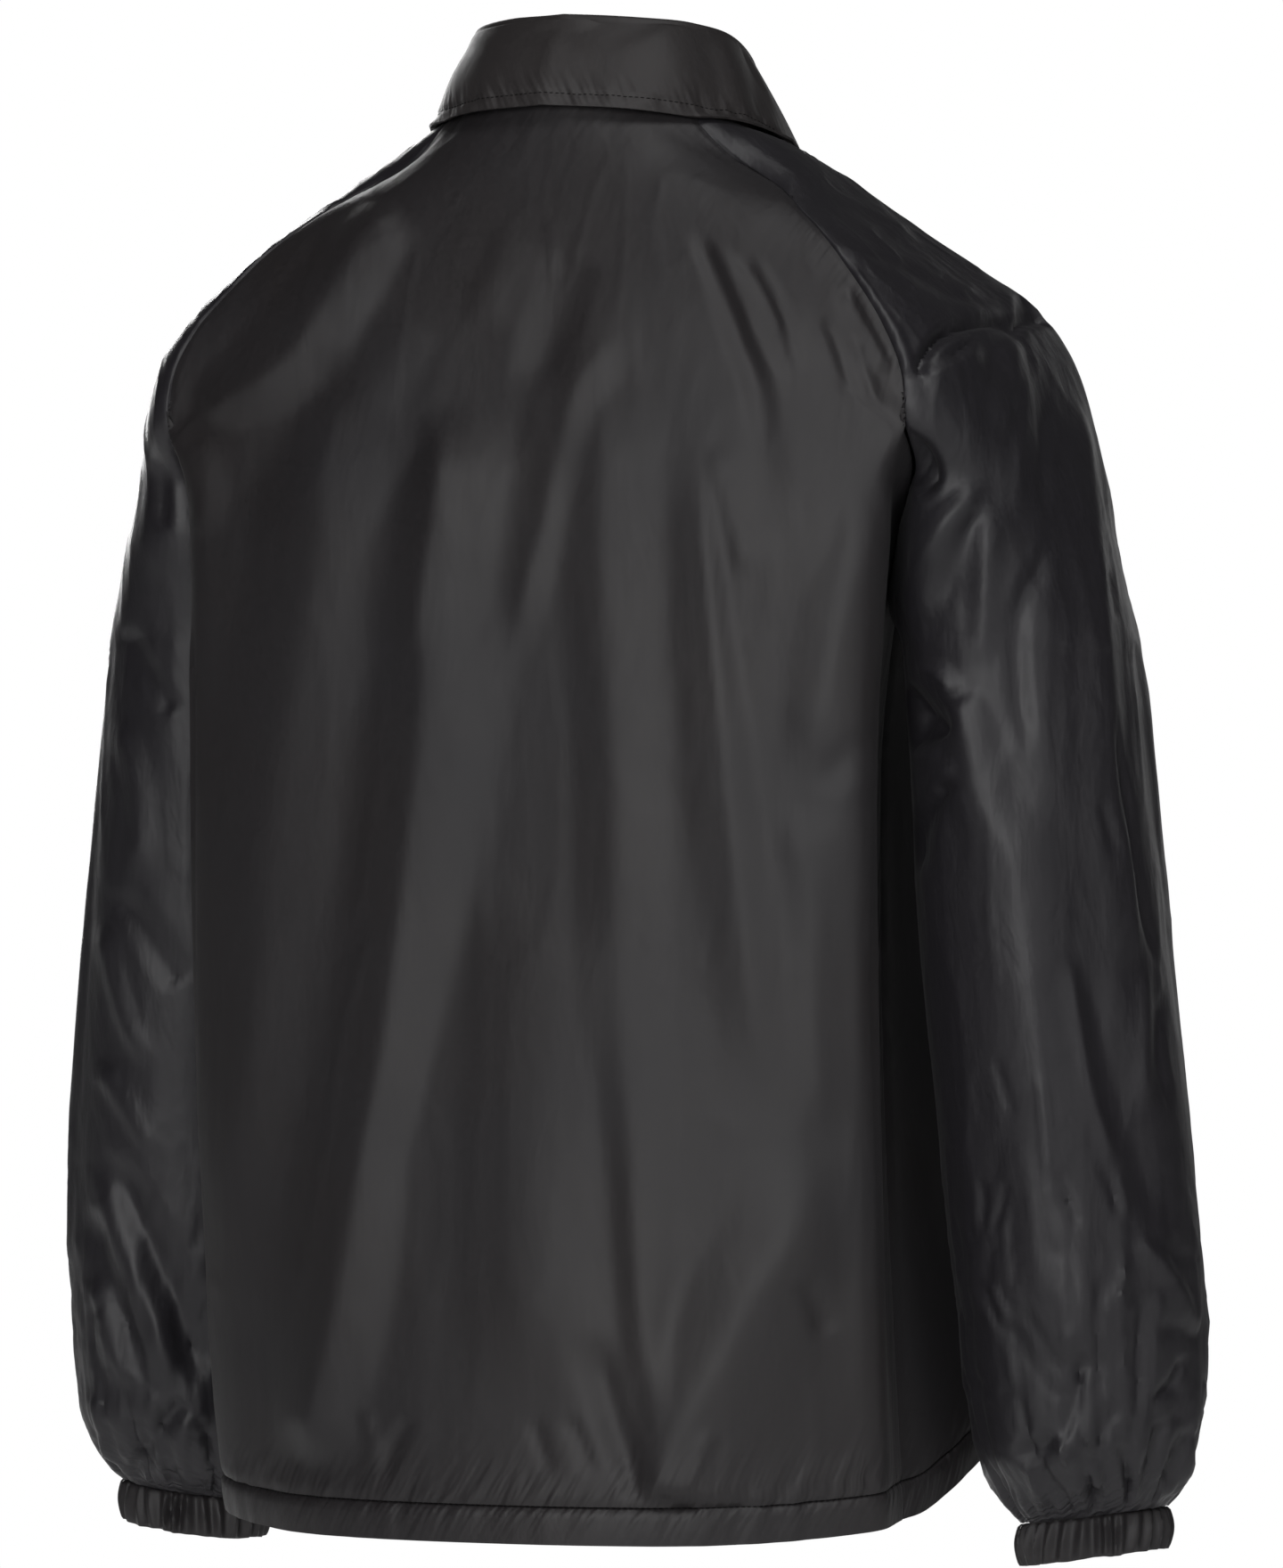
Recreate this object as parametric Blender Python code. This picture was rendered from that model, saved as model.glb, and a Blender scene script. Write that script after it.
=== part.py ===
"""A coach jacket in its worn, hollow form, with no wearer: raglan sleeves, turned-down collar,
snap front, hem casing and gathered cuffs.

The front faces -Y, the wearer's left is +X and +Z is up. The origin is where the neck holds the
jacket: the middle of the neck opening. Tables and sizes are in millimetres and degrees, and
points become metres when a mesh is made.
"""

import math

import bpy
import numpy as np

MM = 0.001

# Cloth and seams
WALL = 1.5
SEAM_GAP = 0.36
CASING_WALL = 2.6
CASING_HEIGHT = 19.0
CASING_GAP = 0.9

# How finely the panels are divided
BACK_COLUMNS = 32
FRONT_COLUMNS = 14
SLEEVE_COLUMNS = 28
YOKE_ROWS = 10
BODY_ROWS = 11
CASING_ROWS = 2
SLEEVE_ROWS = 16
DENSE = 160

# Front opening
OVERLAP = 15.0
UNDERLAP_DEPTH = 4.2
UNDERLAP_BLEND = 26.0
FLAT_STRIP = 16.0
SNAP_RADIUS = 7.5
SNAP_DOME = 2.2
SNAP_RIM = 1.0
SNAP_HEIGHTS = (-88.0, -221.0, -354.0, -487.0, -620.0)

# Hem: the front hangs higher than the back, by rises from one depth to another
HEM_Z = -710.0
UNDERARM_Z = -215.0
HEM_RISE_FROM_Z = -330.0
HEM_RISES = ((150.0, 20.0, 12.0), (40.0, -70.0, 35.0))
HEM_WAVES = 27
HEM_WAVE_DEPTH = 0.9

# Cuffs
CUFF_HEIGHT = 21.0
CUFF_RADIUS = 37.5
CUFF_RIBS = 24
CUFF_RIB_DEPTH = 1.3
CUFF_WALL = 2.4
CUFF_GAP = 0.5
GATHERS = 7
GATHER_DEPTH = 3.6
GATHER_FROM = 3.45

# Collar
COLLAR_COLUMNS = 28
COLLAR_WALL = 1.6
COLLAR_LIFT = 1.25
COLLAR_CLEAR = 4.0
FOLD_RADIUS = 2.6
LEAF_FROM = 9
COLLAR_OPEN = 5.0

# Each sleeve ring is an ellipse round its centre: reach out, back, front and in, with each
# reach's rise, and the angles where the ring meets the back and front raglan seams. Level 0 is
# the neck, 1 the underarm point and 4 the cuff.
RING_COLUMNS = (
    "level", "x", "y", "z", "out", "out_z", "back_x", "back", "back_z",
    "front_x", "front", "front_z", "inner", "inner_z", "back_end", "front_end",
)
SLEEVE_RINGS = (
    (0.00, 0, 0, 12, 83, -8, 0, 75, 18, 0, 85, -67, 0, 0, 30, 35),
    (0.12, 88, -5, -22, 24, 14, 8, 57, 9, 2, 57, -31, 0, 0, 90, 90),
    (0.26, 128, -19, -31, 19, -2, 11, 93, -7, -3, 61, -51, 0, 0, 90, 90),
    (0.42, 160, -31, -60, 26, -1, 13, 121, -10, -8, 59, -53, 0, 0, 90, 90),
    (0.56, 182, -42, -86, 34, 2, 13, 141, -12, -12, 52, -54, 8, 0, 90, 90),
    (0.68, 196, -47, -112, 37, 6, 10, 148, -10, -18, 47, -50, 16, 0, 93, 93),
    (0.78, 205, -43, -141, 43, 4, 5, 143, -6, -19, 47, -37, 24, 0, 102, 102),
    (0.86, 212, -30, -171, 50, -3, 3, 113, 1, -12, 66, -20, 33, 1, 120, 120),
    (0.93, 216, -15, -196, 54, -7, 0, 98, -2, -6, 68, -10, 43, 3, 148, 148),
    (1.00, 219, -6, -220, 58, -10, 0, 83, -4, 0, 70, -6, 53, 5, 180, 180),
    (1.30, 223, -4, -262, 61, -6, 0, 76, -2, 0, 71, -2, 53, 4, 180, 180),
    (1.65, 229, -4, -320, 61, -3, 0, 74, 0, 0, 72, 0, 56, 2, 180, 180),
    (2.15, 237, -6, -410, 62, 0, 0, 73, 0, 0, 71, 0, 60, 0, 180, 180),
    (2.65, 244, -12, -504, 66, 0, 0, 71, 0, 0, 70, 0, 60, 0, 180, 180),
    (3.15, 251, -18, -590, 65, 1, 0, 69, 0, 0, 67, 0, 59, -1, 180, 180),
    (3.50, 254, -20, -640, 62, 2, 0, 65, 0, 0, 63, 0, 57, -2, 180, 180),
    (3.75, 256, -20, -671, 56, 4, 0, 59, 0, 0, 55, 0, 52, -3, 180, 180),
    (3.90, 257, -24, -689, 48, 5, 0, 48, 0, 0, 46, 0, 45, -4, 180, 180),
    (4.00, 257, -26, -700, 38, 5, 0, 37, 0, 0, 37, 0, 37, -5, 180, 180),
)

# The body's sections: the middle of the back and front, the fold where the cloth turns in
# behind and before each arm, and the side seam. Down to level 1 the fold and the seam are the
# raglan seam, so those columns are read only from there down.
SECTION_COLUMNS = (
    "level", "back_y", "back_z", "front_y", "front_z", "seam_x", "seam_y", "seam_z",
    "back_fold_x", "back_fold_y", "back_turn", "front_fold_x", "front_fold_y", "front_turn",
)
BODY_SECTIONS = (
    (0.00, 75, 30, -85, -55, 164, -8, -90, 210, 94, 0.10, 186, -92, 0.12),
    (0.12, 84, 6, -93, -72, 164, -8, -100, 210, 95, 0.10, 186, -92, 0.12),
    (0.26, 95, -22, -102, -92, 164, -7, -115, 210, 96, 0.10, 186, -92, 0.12),
    (0.42, 107, -55, -110, -113, 164, -7, -135, 210, 97, 0.10, 185, -92, 0.11),
    (0.56, 116, -85, -117, -132, 164, -6, -155, 210, 98, 0.10, 184, -92, 0.11),
    (0.68, 122, -113, -122, -150, 164, -5, -170, 210, 99, 0.10, 183, -92, 0.10),
    (0.78, 127, -140, -126, -166, 164, -5, -184, 209, 101, 0.10, 181, -91, 0.10),
    (0.86, 130, -165, -129, -183, 164, -4, -195, 208, 105, 0.10, 178, -91, 0.09),
    (0.93, 133, -190, -131, -199, 163, -4, -205, 206, 108, 0.10, 174, -90, 0.08),
    (1.00, 135, -215, -132, -215, 162, -3, -216, 204, 110, 0.10, 170, -89, 0.08),
    (1.17, 139, -300, -135, -300, 153, 2, -300, 202, 111, 0.10, 167, -89, 0.10),
    (1.37, 143, -400, -138, -400, 156, 12, -400, 201, 109, 0.12, 167, -89, 0.14),
    (1.62, 149, -520, -142, -520, 167, 30, -520, 198, 103, 0.14, 166, -91, 0.26),
    (1.82, 156, -620, -145, -620, 177, 42, -620, 193, 97, 0.18, 162, -92, 0.42),
    (1.94, 161, -680, -147, -680, 183, 48, -680, 187, 90, 0.22, 160, -92, 0.50),
    (2.00, 163, -710, -147, -710, 185, 50, -710, 184, 86, 0.22, 158, -91, 0.52),
)
BACK_ROUNDNESS = 2.3
FRONT_ROUNDNESS = 2.4
SIDE_TURN = 0.58
FLAT_SHARE = 0.69

# The largest folds. On the body, around is the way along the cloth from the middle of the
# back or front, positive to the wearer's left; on a sleeve it is the angle in degrees, 0
# outside and 90 at the back. Height is positive for a ridge and negative for a trough.
FOLD_COLUMNS = ("from_around", "from_z", "to_around", "to_z", "width", "height", "bow")
BACK_FOLDS = (
    (40, -150, 118, -690, 24, -8.0, -8),
    (80, -110, 150, -650, 24, 6.0, 0),
    (22, -120, 84, -690, 26, 6.5, 0),
    (-38, -110, 24, -420, 18, 7.0, 16),
    (-66, -110, -72, -560, 15, -5.0, 0),
    (-52, -80, -40, -600, 24, 3.5, 0),
    (-98, -90, -130, -320, 17, -6.0, 0),
    (-120, -130, -150, -480, 22, 5.0, 0),
    (150, -80, 200, -190, 20, -7.0, 0),
    (-150, -560, -66, -690, 28, 6.0, 0),
    (-90, -500, -40, -680, 22, -5.0, 0),
    (-196, -350, -150, -410, 15, -5.0, 0),
)
FRONT_FOLDS = (
    (60, -130, 92, -640, 24, -6.0, 0),
    (100, -160, 132, -640, 24, 6.0, 0),
    (34, -250, 46, -660, 20, 4.0, 0),
    (150, -140, 100, -230, 18, -6.0, 0),
    (140, -420, 96, -600, 22, -5.0, 0),
)
SLEEVE_FOLDS = (
    (60, -190, 45, -640, 20, 5.0, 0),
    (20, -180, 12, -560, 15, -4.5, 0),
    (95, -165, 140, -215, 15, -8.0, 0),
    (150, -285, 75, -330, 15, -9.0, 0),
    (160, -380, 80, -440, 15, -7.0, 0),
    (-40, -220, -60, -620, 20, 4.0, 0),
    (-90, -250, -140, -330, 16, -7.0, 0),
    (110, -470, 60, -640, 15, -5.0, 0),
    (-20, -470, -55, -640, 15, -5.0, 0),
)

# The collar round the neck, from the middle of the back (90) by the side (0) to the front
# edge (-90): the turned edge's ring and the outer leaf's free edge.
COLLAR_COLUMNS_NAMED = (
    "angle", "fold_x", "fold_y", "fold_z", "edge_x", "edge_y", "edge_z", "belly",
)
COLLAR_SHAPE = (
    (90, 0, 62, 63, 0, 89, 18, 2.0),
    (60, 35, 54, 61, 49, 78, 15, 2.0),
    (30, 61, 33, 58, 82, 44, 8, 2.5),
    (0, 70, 3, 51, 97, 3, -5, 3.0),
    (-30, 65, -31, 33, 101, -45, -38, 3.0),
    (-60, 40, -66, 3, 95, -90, -80, 3.0),
    (-90, 9, -87, -30, 78, -114, -124, 2.0),
)

CLOTH_COLOUR = (0.030, 0.028, 0.029)
CASING_COLOUR = (0.034, 0.032, 0.033)
SNAP_COLOUR = (0.018, 0.018, 0.018)


def clear_scene():
    """Remove every object that the scene starts with."""
    for obj in list(bpy.data.objects):
        bpy.data.objects.remove(obj, do_unlink=True)


def material(name, colour, roughness, metallic=0.0):
    """A plain Principled BSDF with the part's own colour."""
    made = bpy.data.materials.new(name)
    made.use_nodes = True
    shader = made.node_tree.nodes["Principled BSDF"]
    shader.inputs["Base Color"].default_value = (*colour, 1.0)
    shader.inputs["Roughness"].default_value = roughness
    shader.inputs["Metallic"].default_value = metallic
    return made


class Table:
    """Rows of named columns, read between rows with a smooth cubic."""

    def __init__(self, columns, rows):
        values = np.array(rows, float)
        order = np.argsort(values[:, 0])
        self.columns = columns
        self.keys = values[order, 0]
        self.values = values[order]
        step = np.diff(self.keys)
        slope = np.diff(self.values, axis=0) / step[:, None]
        tangent = np.zeros_like(self.values)
        tangent[0], tangent[-1] = slope[0], slope[-1]
        before, after = step[:-1, None], step[1:, None]
        tangent[1:-1] = (slope[:-1] * after + slope[1:] * before) / (before + after)
        self.tangent = tangent

    def at(self, key):
        """The row at this key, as a dictionary of named values."""
        key = min(max(key, self.keys[0]), self.keys[-1])
        low = min(int(np.searchsorted(self.keys, key, "right")) - 1, len(self.keys) - 2)
        span = self.keys[low + 1] - self.keys[low]
        t = (key - self.keys[low]) / span
        start, end = self.values[low], self.values[low + 1]
        start_way, end_way = self.tangent[low] * span, self.tangent[low + 1] * span
        row = (
            (2 * t**3 - 3 * t**2 + 1) * start
            + (t**3 - 2 * t**2 + t) * start_way
            + (3 * t**2 - 2 * t**3) * end
            + (t**3 - t**2) * end_way
        )
        return dict(zip(self.columns, row))


def smooth(value):
    """0 below 0, 1 above 1, and a smooth ramp between."""
    held = np.clip(value, 0.0, 1.0)
    return held * held * (3 - 2 * held)


RINGS = Table(RING_COLUMNS, SLEEVE_RINGS)
SECTIONS = Table(SECTION_COLUMNS, BODY_SECTIONS)
COLLAR = Table(COLLAR_COLUMNS_NAMED, COLLAR_SHAPE)


def ring_point(row, angle):
    """A point of a sleeve ring, at an angle in degrees from outside, positive to the back."""
    turn = math.radians(abs(angle))
    across, along = math.cos(turn), math.sin(turn)
    face = "back" if angle >= 0 else "front"
    reach = "out" if across >= 0 else "inner"
    sign = 1 if angle >= 0 else -1
    return np.array((
        row["x"] + across * row[reach] + along * row[face + "_x"],
        row["y"] + sign * along * row[face],
        row["z"] + abs(across) * row[reach + "_z"] + along * row[face + "_z"],
    ))


def raglan_point(level, face):
    """Where the sleeve meets the back or the front."""
    row = RINGS.at(level)
    angle = row["back_end"] if face == "back" else -row["front_end"]
    return ring_point(row, angle)


def sleeve_grid(levels, columns):
    """The sleeve's cloth: rows down the arm, columns from the front seam to the back seam."""
    rows, angles = [], []
    for level in levels:
        row = RINGS.at(level)
        turns = np.linspace(-row["front_end"], row["back_end"], columns + 1)
        rows.append([ring_point(row, turn) for turn in turns])
        angles.append(turns)
    return np.array(rows), np.array(angles)


def resampled(line, count, corner, aligned):
    """The polyline again in two even runs of columns, which meet at its corner when aligned is 1."""
    steps = np.linalg.norm(np.diff(line, axis=0), axis=1)
    along = np.concatenate([[0], np.cumsum(steps)])
    column = round(count * FLAT_SHARE)
    meeting = along[-1] * FLAT_SHARE * (1 - aligned) + along[corner] * aligned
    flat = np.linspace(0, meeting, column + 1)
    wrap = np.linspace(meeting, along[-1], count - column + 1)
    at = np.concatenate([flat, wrap[1:]])
    return np.stack([np.interp(at, along, line[:, k]) for k in range(3)], axis=1)


def half_row(level, face, count):
    """From the middle of the back or front to the seam, round the fold by the arm."""
    row = SECTIONS.at(level)
    sign = 1 if face == "back" else -1
    middle = np.array((0, row[face + "_y"], row[face + "_z"]))
    if level <= 1.0:
        seam = raglan_point(level, face)
        below = smooth((level - 0.80) / 0.12)
        seam = seam + np.array((-1.0, 0, -1.2)) * below
    else:
        seam = np.array((row["seam_x"], row["seam_y"], row["seam_z"]))
    folded = float(smooth((level - 0.70) / 0.10))
    fold = np.array((row[face + "_fold_x"], row[face + "_fold_y"], seam[2]))
    fold = seam * (1 - folded) + fold * folded
    power = BACK_ROUNDNESS if face == "back" else FRONT_ROUNDNESS
    t = np.linspace(0, 1, DENSE)[:, None]
    flat = np.concatenate([
        middle[0] + (fold[0] - middle[0]) * t,
        middle[1] + (fold[1] - middle[1]) * t**power,
        middle[2] + (fold[2] - middle[2]) * t**2,
    ], axis=1)
    aligned = float(smooth((level - 0.50) / 0.35)) * (0.8 + 0.2 * folded)
    gap = np.linalg.norm(seam - fold)
    if gap < 0.5:
        return resampled(flat, count, DENSE - 1, aligned)
    leave = flat[-1] - flat[-2]
    leave = leave / np.linalg.norm(leave)
    inward = np.array((-0.02, -sign * 1.0, 0))
    start_pull = fold + leave * gap * row[face + "_turn"]
    end_pull = seam - inward / np.linalg.norm(inward) * gap * SIDE_TURN
    wrap = (
        (1 - t) ** 3 * fold
        + 3 * (1 - t) ** 2 * t * start_pull
        + 3 * (1 - t) * t**2 * end_pull
        + t**3 * seam
    )
    return resampled(np.concatenate([flat, wrap[1:]]), count, DENSE - 1, aligned)


def neck_point(angle):
    """The point of the panels' neck edge at an angle in plan, 90 at the back and -90 in front."""
    sleeve = sleeve_grid([0.0], 40)[0][0][::-1]
    edge = np.concatenate([
        half_row(0.0, "back", 40)[:-1],
        sleeve,
        half_row(0.0, "front", 40)[::-1][1:],
    ])
    turns = np.degrees(np.arctan2(edge[:, 1], edge[:, 0]))
    at = np.interp(-angle, -turns, np.arange(len(edge)))
    return np.array([np.interp(at, np.arange(len(edge)), edge[:, k]) for k in range(3)])


def lift_hem(points):
    """Raise the side and front of the lower body, as the hem hangs."""
    lower = smooth((HEM_RISE_FROM_Z - points[..., 2]) / (HEM_RISE_FROM_Z - HEM_Z))
    lifted = points.copy()
    for back_y, front_y, rise in HEM_RISES:
        forward = smooth((back_y - points[..., 1]) / (back_y - front_y))
        lifted[..., 2] += rise * lower * forward
    return lifted


def body_grid(levels, face, columns):
    """Half a body panel: rows downwards, columns from the middle to the seam."""
    return lift_hem(np.array([half_row(level, face, columns) for level in levels]))


def normals_of(grid, closed_from=None):
    """Unit normals of a grid of points, from its rows and columns.

    From row closed_from down, the first and last columns are the same line.
    """
    down = np.gradient(grid, axis=0)
    across = np.gradient(grid, axis=1)
    if closed_from is not None:
        both = (grid[closed_from:, 1] - grid[closed_from:, -2]) / 2
        across[closed_from:, 0] = both
        across[closed_from:, -1] = both
    normals = np.cross(down, across)
    length = np.linalg.norm(normals, axis=2, keepdims=True)
    return normals / np.maximum(length, 1e-9)


def facing(normals, outward):
    """The normals turned so that they point the way that outward does."""
    return normals if (normals * outward).sum() > 0 else -normals


def fold_height(folds, around, height):
    """The rise of the cloth over its smooth form, from a table of folds."""
    total = np.zeros_like(around, float)
    for values in folds:
        fold = dict(zip(FOLD_COLUMNS, values))
        start = np.array((fold["from_around"], fold["from_z"]))
        way = np.array((fold["to_around"], fold["to_z"])) - start
        length = np.linalg.norm(way)
        way = way / length
        offset_around, offset_z = around - start[0], height - start[1]
        along = (offset_around * way[0] + offset_z * way[1]) / length
        bend = fold["bow"] * 4 * along * (1 - along)
        across = offset_around * way[1] - offset_z * way[0] - bend
        profile = np.exp(-((across / fold["width"]) ** 2))
        fade = smooth(along / 0.22) * smooth((1 - along) / 0.30)
        total += fold["height"] * profile * fade
    return total


def along_rows(grid):
    """How far each point lies along its row from the first column."""
    steps = np.linalg.norm(np.diff(grid, axis=1), axis=2)
    return np.concatenate([np.zeros((len(grid), 1)), np.cumsum(steps, axis=1)], axis=1)


def edge_fade(values, first, last):
    """1 inside and 0 at both ends, over the widths first and last."""
    low, high = values[:, :1], values[:, -1:]
    start = smooth((values - low) / first) if first else np.ones_like(values)
    end = smooth((high - values) / last) if last else np.ones_like(values)
    return start * end


def seam_pull(grid, edges, gap=SEAM_GAP):
    """Draw the named edges back by half the gap, along the cloth."""
    pulled = grid.copy()
    for edge in edges:
        at, beside = {
            "top": ((0,), (1,)),
            "bottom": ((-1,), (-2,)),
            "first": ((slice(None), 0), (slice(None), 1)),
            "last": ((slice(None), -1), (slice(None), -2)),
        }[edge]
        line, way = grid[at], grid[beside] - grid[at]
        if edge in ("first", "last"):
            run = np.gradient(line, axis=0)
        else:
            run = np.gradient(line, axis=1)
        run = run / np.maximum(np.linalg.norm(run, axis=-1, keepdims=True), 1e-9)
        way = way - run * (way * run).sum(axis=-1, keepdims=True)
        length = np.linalg.norm(way, axis=-1, keepdims=True)
        pulled[at] = pulled[at] + way / np.maximum(length, 1e-9) * gap / 2
    return pulled


def split(points, quads):
    """Two triangles for each four-sided face, across its shorter diagonal."""
    a, b, c, d = (points[quads[:, k]] for k in range(4))
    shorter = np.linalg.norm(a - c, axis=1) <= np.linalg.norm(b - d, axis=1)
    turned = np.where(shorter[:, None], quads, np.roll(quads, 1, axis=1))
    return [tuple(face) for face in np.concatenate([turned[:, :3], turned[:, [0, 2, 3]]]).tolist()]


def shell(name, outer, inner, finish, weld_from=None):
    """A closed wall between two grids of points, as one object.

    From row weld_from down, the last column is the first one again.
    """
    rows, columns = outer.shape[:2]
    index = np.arange(rows * columns).reshape(rows, columns)
    if weld_from is not None:
        index[weld_from:, -1] = index[weld_from:, 0]
    corners = np.stack([index[:-1, :-1], index[1:, :-1], index[1:, 1:], index[:-1, 1:]], axis=-1)
    quads = corners.reshape(-1, 4)
    points = outer.reshape(-1, 3)
    a, b, c = (points[quads[:, k]] for k in range(3))
    depth = (outer - inner).reshape(-1, 3)[quads[:, 0]]
    if (np.cross(b - a, c - a) * depth).sum() < 0:
        quads = quads[:, [0, 3, 2, 1]]
    faces = split(points, quads)
    count = rows * columns
    edges = set()
    for face in faces:
        edges.update(zip(face, face[1:] + face[:1]))
    rim = [edge for edge in sorted(edges) if (edge[1], edge[0]) not in edges]
    everything = np.concatenate([points, inner.reshape(-1, 3)])
    bands = np.array([(end, start, start + count, end + count) for start, end in rim])
    walls = split(everything, bands)
    back = [tuple(corner + count for corner in reversed(face)) for face in faces]
    used = sorted({corner for face in faces + back for corner in face})
    place = {old: new for new, old in enumerate(used)}
    mesh = bpy.data.meshes.new(name)
    mesh.from_pydata(
        [tuple(everything[old] * MM) for old in used],
        [],
        [tuple(place[corner] for corner in face) for face in faces + walls + back],
    )
    mesh.update()
    mesh.shade_smooth()
    obj = bpy.data.objects.new(name, mesh)
    bpy.context.scene.collection.objects.link(obj)
    obj.data.materials.append(finish)
    return obj


def side_of(grid, side):
    """The grid for the wearer's left (1) or right (-1)."""
    return grid * np.array((side, 1, 1))


class Jacket:
    """All panels on their common levels, so that the seams share their points."""

    def __init__(self):
        yoke = np.linspace(0, 1, YOKE_ROWS + 1)
        hem_top = 2.0 - CASING_HEIGHT / (UNDERARM_Z - HEM_Z)
        panel = np.linspace(1, hem_top, BODY_ROWS + 1)[1:]
        casing = np.linspace(hem_top, 2.0, CASING_ROWS + 1)[1:]
        self.levels = np.concatenate([yoke, panel, casing])
        self.sleeve_levels = np.concatenate([yoke, np.linspace(1, 4, SLEEVE_ROWS + 1)[1:]])
        self.underarm_row = YOKE_ROWS
        self.cloth = material("black_nylon", CLOTH_COLOUR, 0.42)
        self.casing = material("black_nylon_casing", CASING_COLOUR, 0.48)
        self.snap = material("black_snap", SNAP_COLOUR, 0.35)

    def sleeve_surface(self, side):
        """The sleeve's outer points with its folds and gathers, and its normals."""
        grid, angles = sleeve_grid(self.sleeve_levels, SLEEVE_COLUMNS)
        normals = normals_of(grid, self.underarm_row)
        normals = facing(normals, grid - grid.mean(axis=1, keepdims=True))
        height = fold_height(SLEEVE_FOLDS, angles, grid[..., 2])
        level = self.sleeve_levels[:, None]
        beside = smooth((np.abs(angles) - 95.0) / 25.0)
        height = np.where(height > 0, height * (1 - beside), height)
        seam = np.where(level < 1.0, edge_fade(angles, 24.0, 24.0), 1.0)
        ease = smooth((level - 0.15) / 0.3) * smooth((4.0 - level) / 0.35)
        gathered = smooth((level - GATHER_FROM) / 0.4) * smooth((4.0 - level) / 0.12)
        waves = GATHER_DEPTH * np.cos(np.radians(angles) * GATHERS) * gathered
        moved = grid + normals * (height * seam * ease + waves)[..., None]
        return side_of(moved, side), side_of(normals, side)

    def body_surface(self, face, side, columns):
        """Half a panel's outer points with its folds, down to the hem, and its normals."""
        levels = self.levels
        grid = body_grid(levels, face, columns)
        normals = normals_of(grid)
        normals = facing(normals, grid * np.array((1, 1, 0)))
        normals[:, 0, 0] = 0
        normals /= np.linalg.norm(normals, axis=2, keepdims=True)
        around = along_rows(grid) * side
        if face == "front":
            height = fold_height(FRONT_FOLDS, np.abs(around), grid[..., 2])
        else:
            height = fold_height(BACK_FOLDS, around, grid[..., 2])
        around = np.abs(around)
        calm = edge_fade(around, 0, 30.0) * self.before_arm(grid, levels, face)
        calm = calm * (smooth(levels / 0.3) * smooth((2.02 - levels) / 0.14))[:, None]
        if face == "front":
            calm = calm * smooth((around - FLAT_STRIP) / 20.0)
        moved = grid + normals * (height * calm)[..., None]
        return side_of(moved, side), side_of(normals, side)

    def before_arm(self, grid, levels, face):
        """1 on the flat of a panel, and 0 where the cloth turns in beside the arm."""
        folds = np.array([SECTIONS.at(level)[face + "_fold_x"] for level in levels])[:, None]
        turned = smooth((levels - 0.70) / 0.12)[:, None]
        depth = np.abs(grid[..., 0]) - (folds - 45.0)
        past = np.maximum.accumulate(smooth(depth / 38.0), axis=1)
        return 1 - past * turned

    def share_seams(self, back, front, sleeve):
        """Give panels that meet at a seam one common normal there."""
        under = self.underarm_row
        own = smooth((self.levels[: under + 1] - 0.72) / 0.14)[:, None]
        for panel, column in ((back, -1), (front, 0)):
            for first, second in ((panel, -1), (sleeve, column)):
                both = panel[: under + 1, -1] + sleeve[: under + 1, column]
                both /= np.maximum(np.linalg.norm(both, axis=1, keepdims=True), 1e-6)
                mixed = both * (1 - own) + first[: under + 1, second] * own
                first[: under + 1, second] = mixed / np.linalg.norm(mixed, axis=1, keepdims=True)
        common = back[under:, -1] + front[under:, -1]
        common /= np.linalg.norm(common, axis=1, keepdims=True)
        back[under:, -1] = common
        front[under:, -1] = common

    def front_shift(self, grid, normals, side):
        """The left front laps over the right: extend each past the middle, the right one inside."""
        steps = grid[:, :1] - grid[:, 1:2]
        length = np.linalg.norm(steps, axis=2, keepdims=True)
        lap = grid[:, :1] + steps / length * OVERLAP
        wide = np.concatenate([lap, grid], axis=1)
        facing_out = np.concatenate([normals[:, :1], normals], axis=1)
        if side < 0:
            away = np.abs(wide[..., 0] - OVERLAP)
            sunk = 1 - smooth((away - 2 * OVERLAP) / UNDERLAP_BLEND)
            wide = wide - facing_out * (sunk * UNDERLAP_DEPTH)[..., None]
        return wide, facing_out

    def panels(self):
        """Make the back, both fronts and both sleeves, with the casing below each body piece."""
        backs, back_normals = {}, {}
        for side in (1, -1):
            back, back_n = self.body_surface("back", side, BACK_COLUMNS // 2)
            front, front_n = self.body_surface("front", side, FRONT_COLUMNS)
            sleeve, sleeve_n = self.sleeve_surface(side)
            self.share_seams(back_n, front_n, sleeve_n)
            name = "left" if side > 0 else "right"
            backs[side], back_normals[side] = back, back_n
            front, front_n = self.front_shift(front, front_n, side)
            self.body_piece(f"front_{name}", front, front_n, ("last",))
            self.wall(f"sleeve_{name}", sleeve, sleeve_n, ("top", "bottom"), WALL, True)
        whole = np.concatenate([backs[-1][:, ::-1], backs[1][:, 1:]], axis=1)
        normals = np.concatenate([back_normals[-1][:, ::-1], back_normals[1][:, 1:]], axis=1)
        self.body_piece("back", whole, normals, ("first", "last"))

    def body_piece(self, name, grid, normals, edges):
        """A body panel and the hem casing sewn to its lower edge."""
        hem = len(grid) - CASING_ROWS
        self.wall(name, grid[:hem], normals[:hem], ("top", "bottom", *edges), WALL)
        self.casing_wall(f"hem_casing_{name}", grid[hem - 1 :], normals[hem - 1 :], ("top", *edges))

    def wall(self, name, grid, normals, edges, thickness, sleeve=False):
        """A cloth wall whose outer face is the grid, drawn back at its seams."""
        if sleeve:
            upper = self.underarm_row
            pulled = seam_pull(grid, edges)
            pulled[:upper] = seam_pull(pulled[:upper], ("first", "last"))
            weld = upper
        else:
            pulled = seam_pull(grid, edges)
            weld = None
        return shell(name, pulled, pulled - normals * thickness, self.cloth, weld)

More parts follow.
